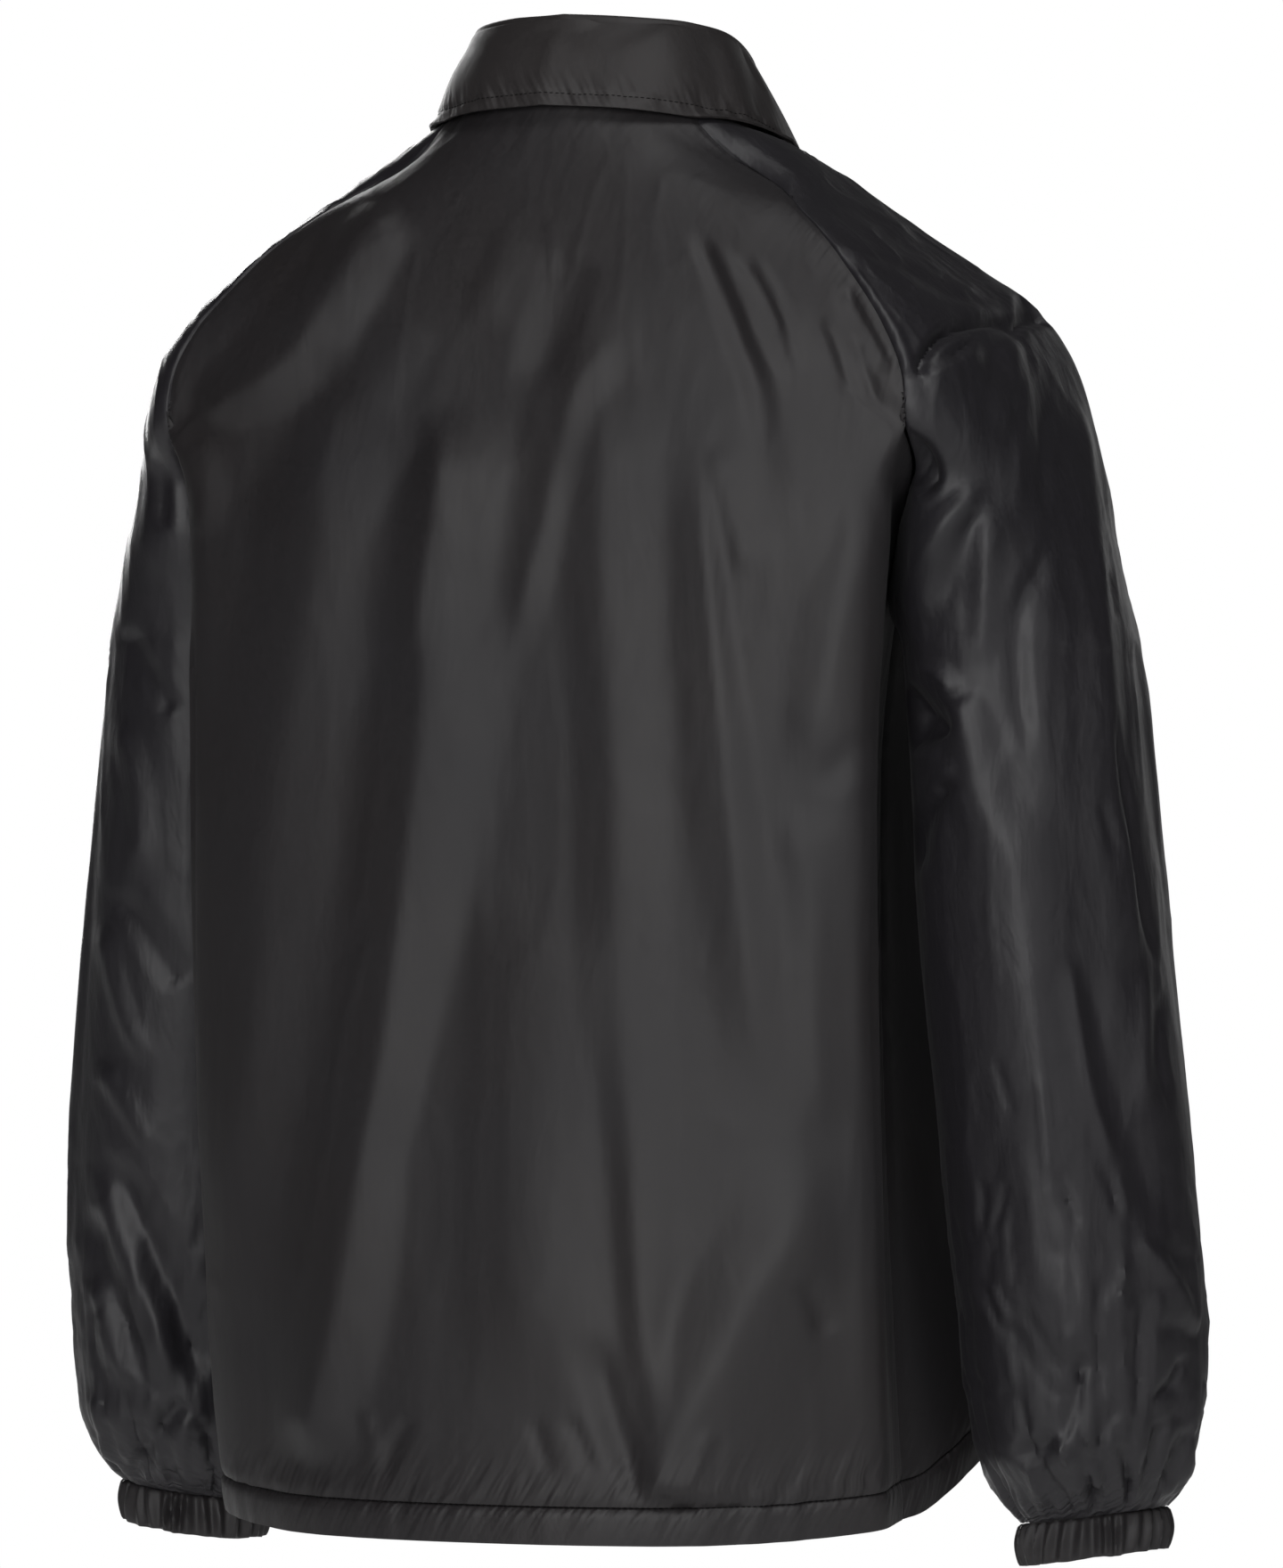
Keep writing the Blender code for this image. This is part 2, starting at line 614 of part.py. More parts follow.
    def casing_wall(self, name, grid, normals, edges):
        """A slightly thicker band, puckered by its stitching."""
        pulled = seam_pull(grid, edges, CASING_GAP)
        around = along_rows(pulled)
        pucker = HEM_WAVE_DEPTH * np.sin(around * 2 * math.pi / HEM_WAVES)
        proud = (CASING_WALL - WALL) / 2
        outer = pulled + normals * (proud + pucker * 0.5)[..., None]
        inner = outer - normals * CASING_WALL
        return shell(name, outer, inner, self.casing)

    def cuffs(self):
        """Gathered elastic cuffs on the sleeve ends."""
        end = RINGS.at(4.0)
        columns = CUFF_RIBS * 2
        for side, name in ((1, "left"), (-1, "right")):
            rows, normals = [], []
            for drop in np.linspace(0, 1, 3):
                ring, out = [], []
                for turn in np.linspace(0, 360, columns + 1):
                    angle = math.radians(turn)
                    rib = CUFF_RIB_DEPTH * math.cos(angle * CUFF_RIBS)
                    swell = 1.5 * math.sin(math.pi * drop)
                    reach = CUFF_RADIUS + rib + swell
                    tilt = end["out_z"] * math.cos(angle)
                    ring.append((
                        end["x"] + reach * math.cos(angle),
                        end["y"] + reach * math.sin(angle),
                        end["z"] + tilt - CUFF_GAP - drop * CUFF_HEIGHT,
                    ))
                    out.append((math.cos(angle), math.sin(angle), 0))
                rows.append(ring)
                normals.append(out)
            outer = side_of(np.array(rows), side)
            inner = outer - side_of(np.array(normals), side) * CUFF_WALL
            shell(f"cuff_{name}", outer, inner, self.casing, weld_from=0)

    def collar_line(self, angle):
        """One section of the collar: up the stand, over the fold and down the leaf."""
        row = COLLAR.at(angle)
        foot = neck_point(angle) + np.array((0, 0, COLLAR_LIFT))
        if angle < -80:
            foot[0] = max(foot[0], COLLAR_OPEN)
        top = np.array((row["fold_x"], row["fold_y"], row["fold_z"]))
        edge = np.array((row["edge_x"], row["edge_y"], row["edge_z"]))
        out = np.array((edge[0] - top[0], edge[1] - top[1], 0))
        out = out / np.linalg.norm(out)
        rise = np.array((0, 0, 1.0))
        line = [foot + (top - foot) * t - out * FOLD_RADIUS * t for t in (0, 0.35, 0.7, 0.92)]
        for bend in (90, 45, 0, -45, -90):
            turned = math.radians(bend)
            line.append(
                top - out * FOLD_RADIUS * math.sin(turned) + rise * FOLD_RADIUS * math.cos(turned)
            )
        start = line[-1]
        for t in (0.2, 0.45, 0.72, 1.0):
            swell = row["belly"] * math.sin(math.pi * t)
            line.append(start + (edge - start) * t + out * swell)
        return np.array(line)

    def clear_of_panels(self, half):
        """Lift the leaf's points so that it lies on the shoulders and not in them."""
        levels = np.linspace(0, 0.6, 46)
        surfaces = [sleeve_grid(levels, 60)[0]]
        surfaces += [body_grid(levels, face, 60) for face in ("back", "front")]
        normals = []
        for surface in surfaces:
            up = normals_of(surface)
            normals.append(facing(up, surface - np.array((0, 0, -300.0))))
        points = np.concatenate([surface.reshape(-1, 3) for surface in surfaces])
        ways = np.concatenate([normal.reshape(-1, 3) for normal in normals])
        lifted = half.copy()
        for row in lifted:
            for point in row[LEAF_FROM:]:
                nearest = int(np.argmin(((points - point) ** 2).sum(axis=1)))
                above = float((point - points[nearest]) @ ways[nearest])
                point += ways[nearest] * max(0.0, COLLAR_CLEAR - above)
        return lifted

    def collar(self):
        """The turned-down collar in one folded wall, open at the front."""
        angles = np.linspace(-90, 90, COLLAR_COLUMNS // 2 + 1)
        half = np.array([self.collar_line(angle) for angle in angles])
        half = self.clear_of_panels(half)
        right = half[::-1] * np.array((-1, 1, 1))
        grid = np.concatenate([half, right[1:]], axis=0)
        grid = grid.transpose(1, 0, 2)
        normals = normals_of(grid)
        middle = grid.shape[1] // 2
        if normals[-2, middle, 1] < 0:
            normals = -normals
        shell("collar", grid, grid - normals * COLLAR_WALL, self.cloth)

    def snaps(self):
        """Domed snap caps down the left front, seated on the cloth."""
        fine = np.linspace(0, 2, 241)
        middle = body_grid(fine, "front", 2)[:, 0]
        for number, height in enumerate(SNAP_HEIGHTS, start=1):
            nearest = int(np.argmin(np.abs(middle[:, 2] - height)))
            point = middle[nearest]
            way = middle[nearest + 1] - middle[nearest - 1]
            way = way / np.linalg.norm(way)
            out = np.array((0, way[2], -way[1]))
            out = out if out[1] < 0 else -out
            self.snap_cap(f"snap_cap_{number}", point, out, way)

    def snap_cap(self, name, point, out, way):
        """A low dome turned about its own axis."""
        aside = np.cross(out, way)
        profile = [(0, SNAP_DOME), (0.55, SNAP_DOME * 0.86), (0.88, SNAP_DOME * 0.5),
                   (1.0, SNAP_RIM * 0.4), (1.0, 0), (0, 0)]
        seat = point + out * SEAM_GAP
        turns = 16
        points, faces = [tuple((seat + out * SNAP_DOME) * MM)], []
        rings = profile[1:-1]
        for reach, high in rings:
            for step in range(turns):
                angle = 2 * math.pi * step / turns
                around = aside * math.cos(angle) + way * math.sin(angle)
                points.append(tuple((seat + around * reach * SNAP_RADIUS + out * high) * MM))
        points.append(tuple(seat * MM))
        last = len(points) - 1
        for step in range(turns):
            after = (step + 1) % turns
            faces.append((0, 1 + after, 1 + step))
            for ring in range(len(rings) - 1):
                low, high = 1 + ring * turns, 1 + (ring + 1) * turns
                faces.append((low + step, low + after, high + after, high + step))
            base = 1 + (len(rings) - 1) * turns
            faces.append((base + step, base + after, last))
        mesh = bpy.data.meshes.new(name)
        mesh.from_pydata(points, [], faces)
        mesh.update()
        obj = bpy.data.objects.new(name, mesh)
        bpy.context.scene.collection.objects.link(obj)
        obj.data.materials.append(self.snap)
        return obj


def main():
    """Build every node of the jacket."""
    clear_scene()
    jacket = Jacket()
    jacket.panels()
    jacket.cuffs()
    jacket.collar()
    jacket.snaps()


main()
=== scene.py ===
"""Looks of a black nylon coach jacket in its worn, hollow form.

Every cloth piece is a thin shell on the form of its solid, with its own folds, gathers, seams and
stitching. Sizes are in millimetres and degrees, and points become metres when a mesh is made.
"""

from __future__ import annotations

import logging
import math
from dataclasses import dataclass, field
from enum import Enum
from functools import partial

import bpy
import numpy as np
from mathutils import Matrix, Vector

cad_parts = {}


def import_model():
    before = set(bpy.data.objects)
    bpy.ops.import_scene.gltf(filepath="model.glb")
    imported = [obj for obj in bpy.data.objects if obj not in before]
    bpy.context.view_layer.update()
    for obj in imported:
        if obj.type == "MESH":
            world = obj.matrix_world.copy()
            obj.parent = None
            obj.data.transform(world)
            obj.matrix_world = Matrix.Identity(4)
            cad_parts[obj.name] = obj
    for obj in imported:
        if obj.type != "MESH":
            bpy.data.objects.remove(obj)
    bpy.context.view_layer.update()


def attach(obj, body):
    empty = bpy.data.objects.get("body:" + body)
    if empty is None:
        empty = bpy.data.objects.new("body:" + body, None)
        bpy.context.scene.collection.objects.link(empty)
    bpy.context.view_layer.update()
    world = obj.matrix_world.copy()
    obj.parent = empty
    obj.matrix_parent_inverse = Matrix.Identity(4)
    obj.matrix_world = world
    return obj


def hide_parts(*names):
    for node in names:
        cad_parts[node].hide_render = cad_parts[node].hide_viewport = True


MM = 0.001
LOG = logging.getLogger("coach_jacket")

# The view from behind the right shoulder: its turn, its distance and height in millimetres, and
# the steps in which folds are placed on it, 0.46 mm each from the frame's top left corner. Then
# the place of the origin and the frame's size in these steps.
VIEW_TURN = 205.0
VIEW_DISTANCE = 6000.0
VIEW_HEIGHT = -280.0
VIEW_STEP = 0.46
VIEW_AXIS = (690.0, 165.0)
FRAME_SIZE = (1440, 1760)

# The body's height at the underarm, the length of the raglan seam, the length of a sleeve for each
# of its levels below the underarm, the last of these levels, and the cloth along a sleeve's girth
# for each degree.
UNDERARM_Z = -215.0
RAGLAN_LENGTH = 260.0
SLEEVE_LENGTH = 115.0
CUFF_LEVEL = 4.0
GIRTH_STEP = 1.15

# The form: how the sleeves and the body stand, as in the solids
RING_COLUMNS = (
    "level", "x", "y", "z", "out", "out_z", "back_x", "back", "back_z",
    "front_x", "front", "front_z", "inner", "inner_z", "back_end", "front_end",
)
SLEEVE_RINGS = (
    (0.00, 0, 0, 12, 83, -8, 0, 75, 18, 0, 85, -67, 0, 0, 30, 35),
    (0.12, 88, -5, -22, 24, 14, 8, 57, 9, 2, 57, -31, 0, 0, 90, 90),
    (0.26, 128, -19, -31, 19, -2, 11, 93, -7, -3, 61, -51, 0, 0, 90, 90),
    (0.42, 160, -31, -60, 26, -1, 13, 121, -10, -8, 59, -53, 0, 0, 90, 90),
    (0.56, 182, -42, -86, 34, 2, 13, 141, -12, -12, 52, -54, 8, 0, 90, 90),
    (0.68, 196, -47, -112, 37, 6, 10, 148, -10, -18, 47, -50, 16, 0, 93, 93),
    (0.78, 205, -43, -141, 43, 4, 5, 143, -6, -19, 47, -37, 24, 0, 102, 102),
    (0.86, 212, -30, -171, 50, -3, 3, 113, 1, -12, 66, -20, 33, 1, 120, 120),
    (0.93, 216, -15, -196, 54, -7, 0, 98, -2, -6, 68, -10, 43, 3, 148, 148),
    (1.00, 219, -6, -220, 58, -10, 0, 83, -4, 0, 70, -6, 53, 5, 180, 180),
    (1.30, 223, -4, -262, 61, -6, 0, 76, -2, 0, 71, -2, 53, 4, 180, 180),
    (1.65, 229, -4, -320, 61, -3, 0, 74, 0, 0, 72, 0, 56, 2, 180, 180),
    (2.15, 237, -6, -410, 62, 0, 0, 73, 0, 0, 71, 0, 60, 0, 180, 180),
    (2.65, 244, -12, -504, 66, 0, 0, 71, 0, 0, 70, 0, 60, 0, 180, 180),
    (3.15, 251, -18, -590, 65, 1, 0, 69, 0, 0, 67, 0, 59, -1, 180, 180),
    (3.50, 254, -20, -640, 62, 2, 0, 65, 0, 0, 63, 0, 57, -2, 180, 180),
    (3.75, 256, -20, -671, 56, 4, 0, 59, 0, 0, 55, 0, 52, -3, 180, 180),
    (3.90, 257, -24, -689, 48, 5, 0, 48, 0, 0, 46, 0, 45, -4, 180, 180),
    (4.00, 257, -26, -700, 38, 5, 0, 37, 0, 0, 37, 0, 37, -5, 180, 180),
)
SECTION_COLUMNS = (
    "level", "back_y", "back_z", "front_y", "front_z", "seam_x", "seam_y", "seam_z",
    "back_fold_x", "back_fold_y", "back_turn", "front_fold_x", "front_fold_y", "front_turn",
)
BODY_SECTIONS = (
    (0.00, 75, 30, -85, -55, 164, -8, -90, 210, 94, 0.10, 186, -92, 0.12),
    (0.12, 84, 6, -93, -72, 164, -8, -100, 210, 95, 0.10, 186, -92, 0.12),
    (0.26, 95, -22, -102, -92, 164, -7, -115, 210, 96, 0.10, 186, -92, 0.12),
    (0.42, 107, -55, -110, -113, 164, -7, -135, 210, 97, 0.10, 185, -92, 0.11),
    (0.56, 116, -85, -117, -132, 164, -6, -155, 210, 98, 0.10, 184, -92, 0.11),
    (0.68, 122, -113, -122, -150, 164, -5, -170, 210, 99, 0.10, 183, -92, 0.10),
    (0.78, 127, -140, -126, -166, 164, -5, -184, 209, 101, 0.10, 181, -91, 0.10),
    (0.86, 130, -165, -129, -183, 164, -4, -195, 208, 105, 0.10, 178, -91, 0.09),
    (0.93, 133, -190, -131, -199, 163, -4, -205, 206, 108, 0.10, 174, -90, 0.08),
    (1.00, 135, -215, -132, -215, 162, -3, -216, 204, 110, 0.10, 170, -89, 0.08),
    (1.17, 139, -300, -135, -300, 153, 2, -300, 202, 111, 0.10, 167, -89, 0.10),
    (1.37, 143, -400, -138, -400, 156, 12, -400, 201, 109, 0.12, 167, -89, 0.14),
    (1.62, 149, -520, -142, -520, 167, 30, -520, 198, 103, 0.14, 166, -91, 0.26),
    (1.82, 156, -620, -145, -620, 177, 42, -620, 193, 97, 0.18, 162, -92, 0.42),
    (1.94, 161, -680, -147, -680, 183, 48, -680, 187, 90, 0.22, 160, -92, 0.50),
    (2.00, 163, -710, -147, -710, 185, 50, -710, 184, 86, 0.22, 158, -91, 0.52),
)
COLLAR_COLUMNS = (
    "angle", "fold_x", "fold_y", "fold_z", "edge_x", "edge_y", "edge_z", "belly",
)
COLLAR_SHAPE = (
    (90, 0, 62, 63, 0, 89, 18, 2.0),
    (60, 35, 54, 61, 49, 78, 15, 2.0),
    (30, 61, 33, 58, 82, 44, 8, 2.5),
    (0, 70, 3, 51, 97, 3, -5, 3.0),
    (-30, 65, -31, 33, 101, -45, -38, 3.0),
    (-60, 40, -66, 3, 95, -90, -80, 3.0),
    (-90, 9, -87, -30, 78, -114, -124, 2.0),
)


class Face(Enum):
    """The side of the body that a panel covers."""

    BACK = "back"
    FRONT = "front"


class Crest(Enum):
    """How round the top of a fold is, as a share of its width."""

    ROUND = 0.50
    SOFT = 0.18
    SHARP = 0.07


class Side(Enum):
    """The wearer's left or right."""

    LEFT = "left"
    RIGHT = "right"

    @property
    def sign(self) -> int:
        """1 for the wearer's left, which is +X, and -1 for the right."""
        return 1 if self is Side.LEFT else -1


class Table:
    """Rows of named columns, read between rows with a smooth cubic."""

    def __init__(self, columns: tuple[str, ...], rows: tuple[tuple[float, ...], ...]) -> None:
        """Sort the rows by their first column and work out the slopes.

        Args:
            columns: The name of each column; the first one is the key.
            rows: The table's rows.
        """
        values = np.array(rows, float)
        self.columns = columns
        self.values = values[np.argsort(values[:, 0])]
        self.keys = self.values[:, 0]
        step = np.diff(self.keys)
        slope = np.diff(self.values, axis=0) / step[:, None]
        self.tangent = np.zeros_like(self.values)
        self.tangent[0], self.tangent[-1] = slope[0], slope[-1]
        before, after = step[:-1, None], step[1:, None]
        self.tangent[1:-1] = (slope[:-1] * after + slope[1:] * before) / (before + after)

    def at(self, keys: np.ndarray) -> dict[str, np.ndarray]:
        """Read the table.

        Args:
            keys: The keys to read at.

        Returns:
            Each column's values at the keys.
        """
        keys = np.clip(keys, self.keys[0], self.keys[-1])
        low = np.clip(np.searchsorted(self.keys, keys, "right") - 1, 0, len(self.keys) - 2)
        span = (self.keys[low + 1] - self.keys[low])[..., None]
        t = (keys - self.keys[low])[..., None] / span
        rows = (
            (2 * t**3 - 3 * t**2 + 1) * self.values[low]
            + (t**3 - 2 * t**2 + t) * self.tangent[low] * span
            + (3 * t**2 - 2 * t**3) * self.values[low + 1]
            + (t**3 - t**2) * self.tangent[low + 1] * span
        )
        return {name: rows[..., k] for k, name in enumerate(self.columns)}


RINGS = Table(RING_COLUMNS, SLEEVE_RINGS)
SECTIONS = Table(SECTION_COLUMNS, BODY_SECTIONS)
COLLAR = Table(COLLAR_COLUMNS, COLLAR_SHAPE)


def smooth(value: np.ndarray | float) -> np.ndarray:
    """Give 0 below 0, 1 above 1, and a smooth ramp between."""
    held = np.clip(value, 0.0, 1.0)
    return held * held * (3 - 2 * held)


def unit(ways: np.ndarray) -> np.ndarray:
    """Give each way the length 1."""
    return ways / np.maximum(np.linalg.norm(ways, axis=-1, keepdims=True), 1e-9)


def curve_through(points: tuple[tuple[float, float], ...], steps: int = 8) -> np.ndarray:
    """Draw a smooth line through a fold's points.

    Args:
        points: Two or more points on the cloth.
        steps: Straight pieces between two points.

    Returns:
        The line's points.
    """
    given = np.array(points, float)
    ends = np.concatenate([[2 * given[0] - given[1]], given, [2 * given[-1] - given[-2]]])
    line = []
    for k in range(1, len(ends) - 2):
        t = np.linspace(0, 1, steps, endpoint=False)[:, None]
        a, b, c, d = ends[k - 1 : k + 3]
        line.append(
            0.5 * (2 * b + (c - a) * t + (2 * a - 5 * b + 4 * c - d) * t**2
                   + (3 * b - a - 3 * c + d) * t**3)
        )
    line.append(given[-1:])
    return np.concatenate(line)


def view_way() -> np.ndarray:
    """The level way from the jacket to the eye of the view."""
    turn = math.radians(VIEW_TURN)
    return np.array((math.sin(turn), -math.cos(turn), 0.0))


def seen_at(points: np.ndarray) -> tuple[np.ndarray, np.ndarray]:
    """Where points show on the view.

    Args:
        points: Points in millimetres.

    Returns:
        Steps to the right and steps down from the frame's top left corner.
    """
    way = view_way()
    right = np.array((-way[1], way[0], 0.0))
    size = 1 / (1 - points @ way / VIEW_DISTANCE)
    across = points @ right * size
    height = VIEW_HEIGHT + (points[..., 2] - VIEW_HEIGHT) * size
    return VIEW_AXIS[0] + across / VIEW_STEP, VIEW_AXIS[1] - height / VIEW_STEP


@dataclass(frozen=True)
class Fold:
    """A ridge (height above 0) or a trough (below 0) along a path on the cloth.

    Each point of the path has its place across and down, and the fold's widths to its left and
    its right there. The path runs downwards, and the height is in millimetres.
    """

    height: float
    path: tuple[tuple[float, float, float, float], ...]
    crest: Crest = Crest.SOFT
    ends: tuple[float, float] = (0.2, 0.25)

    def lift(self, across: np.ndarray, down: np.ndarray) -> np.ndarray:
        """Work out how far the fold moves the cloth out.

        Args:
            across: Place across of each point.
            down: Place down of each point.

        Returns:
            The move of each point along its normal.
        """
        line = curve_through(self.path)
        spots, widths = line[:, :2], np.maximum(line[:, 2:], 1.0)
        reach = 1.6 * widths.max()
        low, high = spots.min(axis=0) - reach, spots.max(axis=0) + reach
        near = (across > low[0]) & (across < high[0]) & (down > low[1]) & (down < high[1])
        total = np.zeros_like(across)
        if not near.any():
            return total
        start, way = spots[:-1], np.diff(spots, axis=0)
        length = np.linalg.norm(way, axis=1)
        before = np.concatenate([[0], np.cumsum(length)[:-1]])
        offset = np.stack([across[near], down[near]], axis=1)[:, None] - start[None]
        t = np.clip((offset * way).sum(axis=2) / length**2, 0, 1)
        away = offset - t[..., None] * way
        far = np.linalg.norm(away, axis=2)
        nearest = np.argmin(far, axis=1)
        row = np.arange(len(nearest))
        off, t = away[row, nearest], t[row, nearest]
        turn = way[nearest, 1] * off[:, 0] - way[nearest, 0] * off[:, 1]
        along = (before[nearest] + t * length[nearest]) / length.sum()
        width = widths[nearest] * (1 - t[:, None]) + widths[nearest + 1] * t[:, None]
        share = far[row, nearest] / np.where(turn > 0, width[:, 1], width[:, 0])
        first, last = self.ends
        fade = smooth(along / first) if first else 1.0
        fade = fade * (smooth((1 - along) / last) if last else 1.0)
        total[near] = self.height * self.profile(share) * fade
        return total

    def profile(self, share: np.ndarray) -> np.ndarray:
        """The fold's straight-sided section, with its crest and its feet rounded."""
        rounding, foot = self.crest.value, 0.08
        past = np.sqrt(share**2 + rounding**2) - rounding
        return foot * np.log1p(np.exp((1 - past) / foot))


def soft(
    height: float, left: float, right: float, *points: tuple[float, float],
    crest: Crest = Crest.SOFT, ends: tuple[float, float] = Fold.ends,
) -> Fold:
    """A fold whose widths are the same all along, with a soft crest if no other is given."""
    return Fold(height, tuple((x, y, left, right) for x, y in points), crest, ends)


sharp = partial(soft, crest=Crest.SHARP)
rounded = partial(soft, crest=Crest.ROUND)


def folds_lift(folds: tuple[Fold, ...], across: np.ndarray, down: np.ndarray) -> np.ndarray:
    """Add up the lifts of several folds."""
    total = np.zeros_like(across, float)
    for fold in folds:
        total += fold.lift(across, down)
    return total


class Rumple:
    """Seeded uneven waves in space, for the cloth's small irregular crumples.

    A number added to the points reads another part of the block, so that two uses differ.
    """

    def __init__(self, seed: int, size: int = 24) -> None:
        """Fill a repeating block with seeded values between -1 and 1."""
        self.size = size
        self.block = np.random.default_rng(seed).uniform(-1, 1, (size, size, size))

    def at(self, points: np.ndarray, scale: tuple[float, float, float]) -> np.ndarray:
        """Read the waves.

        Args:
            points: Points with three values each.
            scale: Size of one wave along each of them.

        Returns:
            A value between about -1 and 1 for each point.
        """
        place = points / np.array(scale)
        low = np.floor(place).astype(int)
        t = smooth(place - low)
        total = np.zeros(points.shape[:-1])
        for corner in range(8):
            step = np.array([corner & 1, corner >> 1 & 1, corner >> 2 & 1])
            weight = np.prod(np.where(step == 1, t, 1 - t), axis=-1)
            index = (low + step) % self.size
            total += weight * self.block[index[..., 0], index[..., 1], index[..., 2]]
        return total

    def creases(self, points: np.ndarray, scale: tuple[float, float, float]) -> np.ndarray:
        """Give sharp uneven lines: about 1 on a line and falling to 0 beside it."""
        first = self.at(points, scale)
        second = self.at(points * 1.93 + 17.3, scale)
        return (1 - np.abs(first)) ** 5 * 0.7 + (1 - np.abs(second)) ** 6 * 0.3


@dataclass(frozen=True)
class ClothGrid:
    """A cloth surface as a grid of points, with its normals and the way along the cloth."""

    points: np.ndarray
    normals: np.ndarray
    around: np.ndarray
    down: np.ndarray
    strain: np.ndarray | None = None

    def lifted(self, height: np.ndarray, strain: np.ndarray) -> ClothGrid:
        """The same cloth moved out along its normals, with the strain of its puckers."""
        points = self.points + self.normals * height[..., None]
        return ClothGrid(points, self.normals, self.around, self.down, strain)


def normals_of(grid: np.ndarray, closed_from: int | None = None) -> np.ndarray:
    """Work out the normals of a grid from its rows and columns.

    Args:
        grid: The grid's points.
        closed_from: The row from which down the first and last columns are one line.

    Returns:
        Unit normals.
    """
    down = np.gradient(grid, axis=0)
    across = np.gradient(grid, axis=1)
    if closed_from is not None:
        both = (grid[closed_from:, 1] - grid[closed_from:, -2]) / 2
        across[closed_from:, 0] = both
        across[closed_from:, -1] = both
    return unit(np.cross(down, across))


def facing(normals: np.ndarray, outward: np.ndarray) -> np.ndarray:
    """Turn the normals so that they point the way that outward does."""
    return normals if (normals * outward).sum() > 0 else -normals


def along_rows(grid: np.ndarray) -> np.ndarray:
    """How far each point lies along its row from the first column."""
    steps = np.linalg.norm(np.diff(grid, axis=1), axis=2)
    return np.concatenate([np.zeros((len(grid), 1)), np.cumsum(steps, axis=1)], axis=1)


def along_columns(grid: np.ndarray) -> np.ndarray:
    """How far each point lies down its column from the first row."""
    return along_rows(grid.transpose(1, 0, 2)).T


def put(name: str, data: bpy.types.ID) -> bpy.types.Object:
    """Add an object to the scene."""
    made = bpy.data.objects.new(name, data)
    bpy.context.scene.collection.objects.link(made)
    return made


def quads_of(index: np.ndarray) -> np.ndarray:
    """The four corners of each cell of a numbered grid."""
    corners = (index[:-1, :-1], index[1:, :-1], index[1:, 1:], index[:-1, 1:])
    return np.stack(corners, axis=-1).reshape(-1, 4)


def link_mesh(name: str, points: np.ndarray, faces: list[tuple[int, ...]]) -> bpy.types.Object:
    """Make a smooth mesh object from points in millimetres.

    Args:
        name: The piece's name.
        points: The corners, in millimetres.
        faces: The faces, facing outwards.

    Returns:
        The new object, in the scene.
    """
    mesh = bpy.data.meshes.new(name)
    mesh.from_pydata((points * MM).tolist(), [], faces)
    mesh.update()
    mesh.shade_smooth()
    mesh.set_sharp_from_angle(angle=math.radians(50))
    return put(name, mesh)


def cloth_shell(
    name: str, outer: np.ndarray, inner: np.ndarray, weld_from: int | None = None,
    strain: np.ndarray | None = None, straight: int | None = None,
) -> bpy.types.Object:
    """Make a closed thin wall between two grids, with a UV map in metres along the cloth.

    Args:
        name: The piece's name.
        outer: Points of the outer face.
        inner: Points of the inner face.
        weld_from: The row from which down the last column is the first one again.
        strain: How strongly fine puckers show at each point of the outer face.
        straight: The column that the cloth's threads follow, or the middle one.

    Returns:
        The cloth as one object.
    """
    rows, columns = outer.shape[:2]
    count = rows * columns
    corner = np.arange(count).reshape(rows, columns)
    index = corner.copy()
    if weld_from is not None:
        index[weld_from:, -1] = index[weld_from:, 0]
    quads, places = quads_of(index), quads_of(corner)
    straight = columns // 2 if straight is None else straight
    across = along_rows(outer)
    across = across - across[:, straight : straight + 1]
    spread = np.stack([across, -along_columns(outer)], axis=-1).reshape(-1, 2) * MM
    points = outer.reshape(-1, 3)
    a, b, c = (points[quads[:, k]] for k in range(3))
    depth = (outer - inner).reshape(-1, 3)[quads[:, 0]]
    if (np.cross(b - a, c - a) * depth).sum() < 0:
        quads, places = quads[:, [0, 3, 2, 1]], places[:, [0, 3, 2, 1]]
    ends = np.stack([quads, np.roll(quads, -1, axis=1)], axis=-1).reshape(-1, 2)
    ends = ends[ends[:, 0] != ends[:, 1]]
    known = set(map(tuple, ends.tolist()))
    rim = np.array([edge for edge in sorted(known) if (edge[1], edge[0]) not in known])
    walls = np.stack([rim[:, 1], rim[:, 0], rim[:, 0] + count, rim[:, 1] + count], axis=1)
    faces = np.concatenate([quads, walls, quads[:, ::-1] + count])
    uv_of = np.concatenate([places, walls % count, places[:, ::-1]])
    used, place = np.unique(faces, return_inverse=True)
    everything = np.concatenate([points, inner.reshape(-1, 3)])[used]
    made = link_mesh(name, everything, place.reshape(faces.shape).tolist())
    layer = made.data.uv_layers.new(name="cloth")
    layer.data.foreach_set("uv", spread[uv_of.reshape(-1)].astype(np.float32).ravel())
    drawn = np.zeros(count) if strain is None else strain.reshape(-1)
    mark = made.data.attributes.new(name="pucker", type="FLOAT", domain="POINT")
    mark.data.foreach_set("value", np.concatenate([drawn, drawn])[used].astype(np.float32))
    return made


